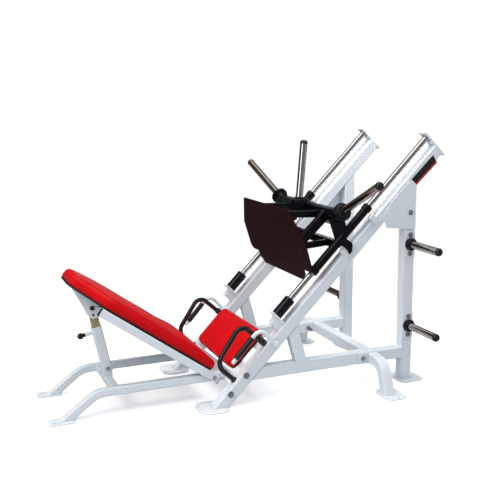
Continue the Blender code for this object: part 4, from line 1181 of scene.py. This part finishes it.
# ------------------------------------------------------------------- stage
def floor_material():
    """Pale matt floor that fades to the backdrop away from the machine."""
    material, shader = new_material("studio_floor")
    vector = shader.coords()
    rays = shader.add("ShaderNodeLightPath").outputs
    pale = shader.ramp(shader.noise(vector, scale=0.8, detail=3.0),
                       {0.3: (0.86, 0.86, 0.865), 0.7: (0.875, 0.875, 0.88)})
    shader.surface({
        "Base Color": shader.mix(rays["Is Camera Ray"], (0.56, 0.58, 0.61), pale),
        "Roughness": 0.65,
        "Specular IOR Level": 0.2})
    radius = shader.vector_math("LENGTH", vector).outputs["Value"]
    fade = shader.remap(radius, source=(1.9, 3.8), target=(0.0, 1.0))
    backdrop = shader.emission((1, 1, 1))
    camera_fade = shader.math("MULTIPLY", fade, rays["Is Camera Ray"])
    # a little glow, for camera rays only: the linked strength rules the socket's value
    glow = shader.emission((1, 1, 1), strength=0.20)
    shader.fill(glow, {"Strength": shader.math("MULTIPLY", rays["Is Camera Ray"], 0.42)})
    principled = material.node_tree.nodes["Principled BSDF"].outputs[0]
    lit = shader.add("ShaderNodeAddShader", {0: principled, 1: glow.outputs[0]})
    seen = shader.mix_shader(camera_fade, lit.outputs[0], backdrop.outputs[0])
    # reflections see a darker floor, more so away from the machine
    dark = shader.emission((0.16, 0.145, 0.135))
    share = shader.math("MULTIPLY",
                        shader.remap(radius, source=(0.4, 1.8), target=(0.55, 0.90)),
                        rays["Is Glossy Ray"])
    shader.fill(material.node_tree.nodes["Material Output"],
                {"Surface": shader.mix_shader(share, seen, dark.outputs[0])})
    return material


def studio_floor():
    half, z = 30, -0.0005
    corners = [(-half, -half, z), (half, -half, z), (half, half, z), (-half, half, z)]
    mesh = mesh_from("studio_floor", (corners, [(0, 1, 2, 3)]))
    mesh.materials.append(floor_material())
    floor = bpy.data.objects.new("studio_floor", mesh)
    scene.collection.objects.link(floor)


# boxes of light seen in reflections: direction x, y; half width fully lit, half width
# where it ends; colour
SOFTBOXES = ((-0.93, -0.37, 0.12, 0.25, (3.0, 3.0, 3.03)),
             (0.60, -0.80, 0.035, 0.07, (0.95, 0.93, 0.90)),
             (0.35, 0.94, 0.05, 0.09, (0.50, 0.48, 0.46)))


def studio_world():
    """White to the camera, a dim studio in reflections, soft daylight elsewhere."""
    world = bpy.data.worlds.new("studio")
    scene.world = world
    world.use_nodes = True
    world.node_tree.nodes.clear()
    shader = Shader(world.node_tree)
    rays = shader.add("ShaderNodeLightPath").outputs
    direction = shader.add("ShaderNodeTexCoord").outputs["Generated"]
    axes = shader.add("ShaderNodeSeparateXYZ", {0: direction}).outputs

    room = shader.ramp(shader.remap(axes["Y"], source=(-1, 1), target=(0, 1)),
                       {0.0: (0.20, 0.19, 0.20), 0.35: (0.13, 0.125, 0.13),
                        0.62: (0.075, 0.066, 0.060), 1.0: (0.060, 0.045, 0.034)})
    ceiling = shader.remap(axes["Z"], source=(0.74, 0.92), target=(0.0, 1.0))
    reflected = shader.mix(ceiling, room, (1.05, 1.06, 1.08))
    for x, y, lit, edge, colour in SOFTBOXES:
        across = shader.vector_math("DOT_PRODUCT", direction, (-y, x, 0)).outputs["Value"]
        across = shader.math("ABSOLUTE", across)
        ahead = shader.vector_math("DOT_PRODUCT", direction, (x, y, 0)).outputs["Value"]
        box = shader.math("MULTIPLY",
                          shader.remap(across, source=(lit, edge), target=(1.0, 0.0)),
                          shader.remap(ahead, source=(0.25, 0.40), target=(0.0, 1.0)))
        reflected = shader.mix(box, reflected, colour)
    diffuse = shader.ramp(shader.remap(axes["Z"], source=(-1, 1), target=(0, 1)),
                          {0.0: (0.31, 0.34, 0.385), 0.5: (0.385, 0.420, 0.475),
                           1.0: (0.90, 0.92, 0.94)})
    # the studio shows only in direct reflections, never through a diffuse bounce
    undiffused = shader.remap(rays["Diffuse Depth"], source=(0.0, 1.0), target=(1.0, 0.0))
    first_gloss = shader.remap(rays["Glossy Depth"], source=(1.0, 2.0), target=(1.0, 0.0))
    direct = shader.math("MULTIPLY", undiffused, first_gloss)
    direct = shader.math("MULTIPLY", direct, rays["Is Glossy Ray"])
    light = shader.add("ShaderNodeBackground", {
        "Strength": 0.92, "Color": shader.mix(direct, diffuse, reflected)})
    white = shader.add("ShaderNodeBackground", {"Strength": 1.0, "Color": (1, 1, 1, 1)})
    shader.add("ShaderNodeOutputWorld", {0: shader.mix_shader(
        rays["Is Camera Ray"], light.outputs[0], white.outputs[0])})


def area_light(name, location, target, size, energy, colour):
    light = bpy.data.lights.new(name, "AREA")
    light.shape = "RECTANGLE"
    light.size, light.size_y = size
    light.energy = energy
    light.color = colour
    ob = bpy.data.objects.new(name, light)
    ob.location = location
    ob.rotation_mode = "QUATERNION"
    ob.rotation_quaternion = (Vector(target) - Vector(location)).to_track_quat("-Z", "Y")
    scene.collection.objects.link(ob)
    ob.visible_glossy = False


def lights():
    area_light("key", location=(-4.2, -2.1, 4.2), target=(0.0, 0, 0.6),
               size=(2.2, 1.8), energy=120, colour=(1.0, 0.99, 0.98))
    area_light("top", location=(0.2, 0.3, 4.6), target=(0.1, 0, 0.5),
               size=(3.6, 3.0), energy=100, colour=(1.0, 1.0, 1.0))
    area_light("rail", location=(0.50, -0.20, 2.45), target=(0.82, 0.39, 1.30),
               size=(0.8, 0.8), energy=11, colour=(0.97, 1.0, 1.0))
    area_light("back", location=(1.0, 4.6, 3.4), target=(0.2, 0, 0.7),
               size=(3.0, 2.0), energy=26, colour=(0.97, 0.98, 1.0))


def camera():
    """Camera on the -y side, looking towards +y and a little towards +x."""
    yaw, pitch, roll = math.radians(21.86), math.radians(10.14), math.radians(-0.60)
    forward = Vector((math.sin(yaw) * math.cos(pitch), math.cos(yaw) * math.cos(pitch),
                      -math.sin(pitch)))
    level = Vector((math.cos(yaw), -math.sin(yaw), 0))
    upright = level.cross(forward)
    right = level * math.cos(roll) + upright * math.sin(roll)
    up = -level * math.sin(roll) + upright * math.cos(roll)
    lens = bpy.data.cameras.new("camera")
    lens.sensor_width = 36.0
    lens.lens = 60.4725
    lens.clip_end = 200.0
    ob = bpy.data.objects.new("camera", lens)
    scene.collection.objects.link(ob)
    ob.matrix_world = local_frame(Vector((-1.8905, -4.773, 1.869)), right, up, -forward)
    scene.camera = ob


# ---------------------------------------------------------------- assembly
def on_both_sides(build):
    for side, label in SIDES:
        build(side, label)


finish_cad_pieces()
on_both_sides(clevis_bolts)
on_both_sides(guide_rod)
all_horns()
on_both_sides(grab_handle)
on_both_sides(lock_lever)
pull_pin()
on_both_sides(frame_bolts)
backrest_plugs()
on_both_sides(weld_beads)
on_both_sides(side_plate)
cushions()
studio_floor()
studio_world()
lights()
camera()
scene.view_settings.view_transform = "Standard"
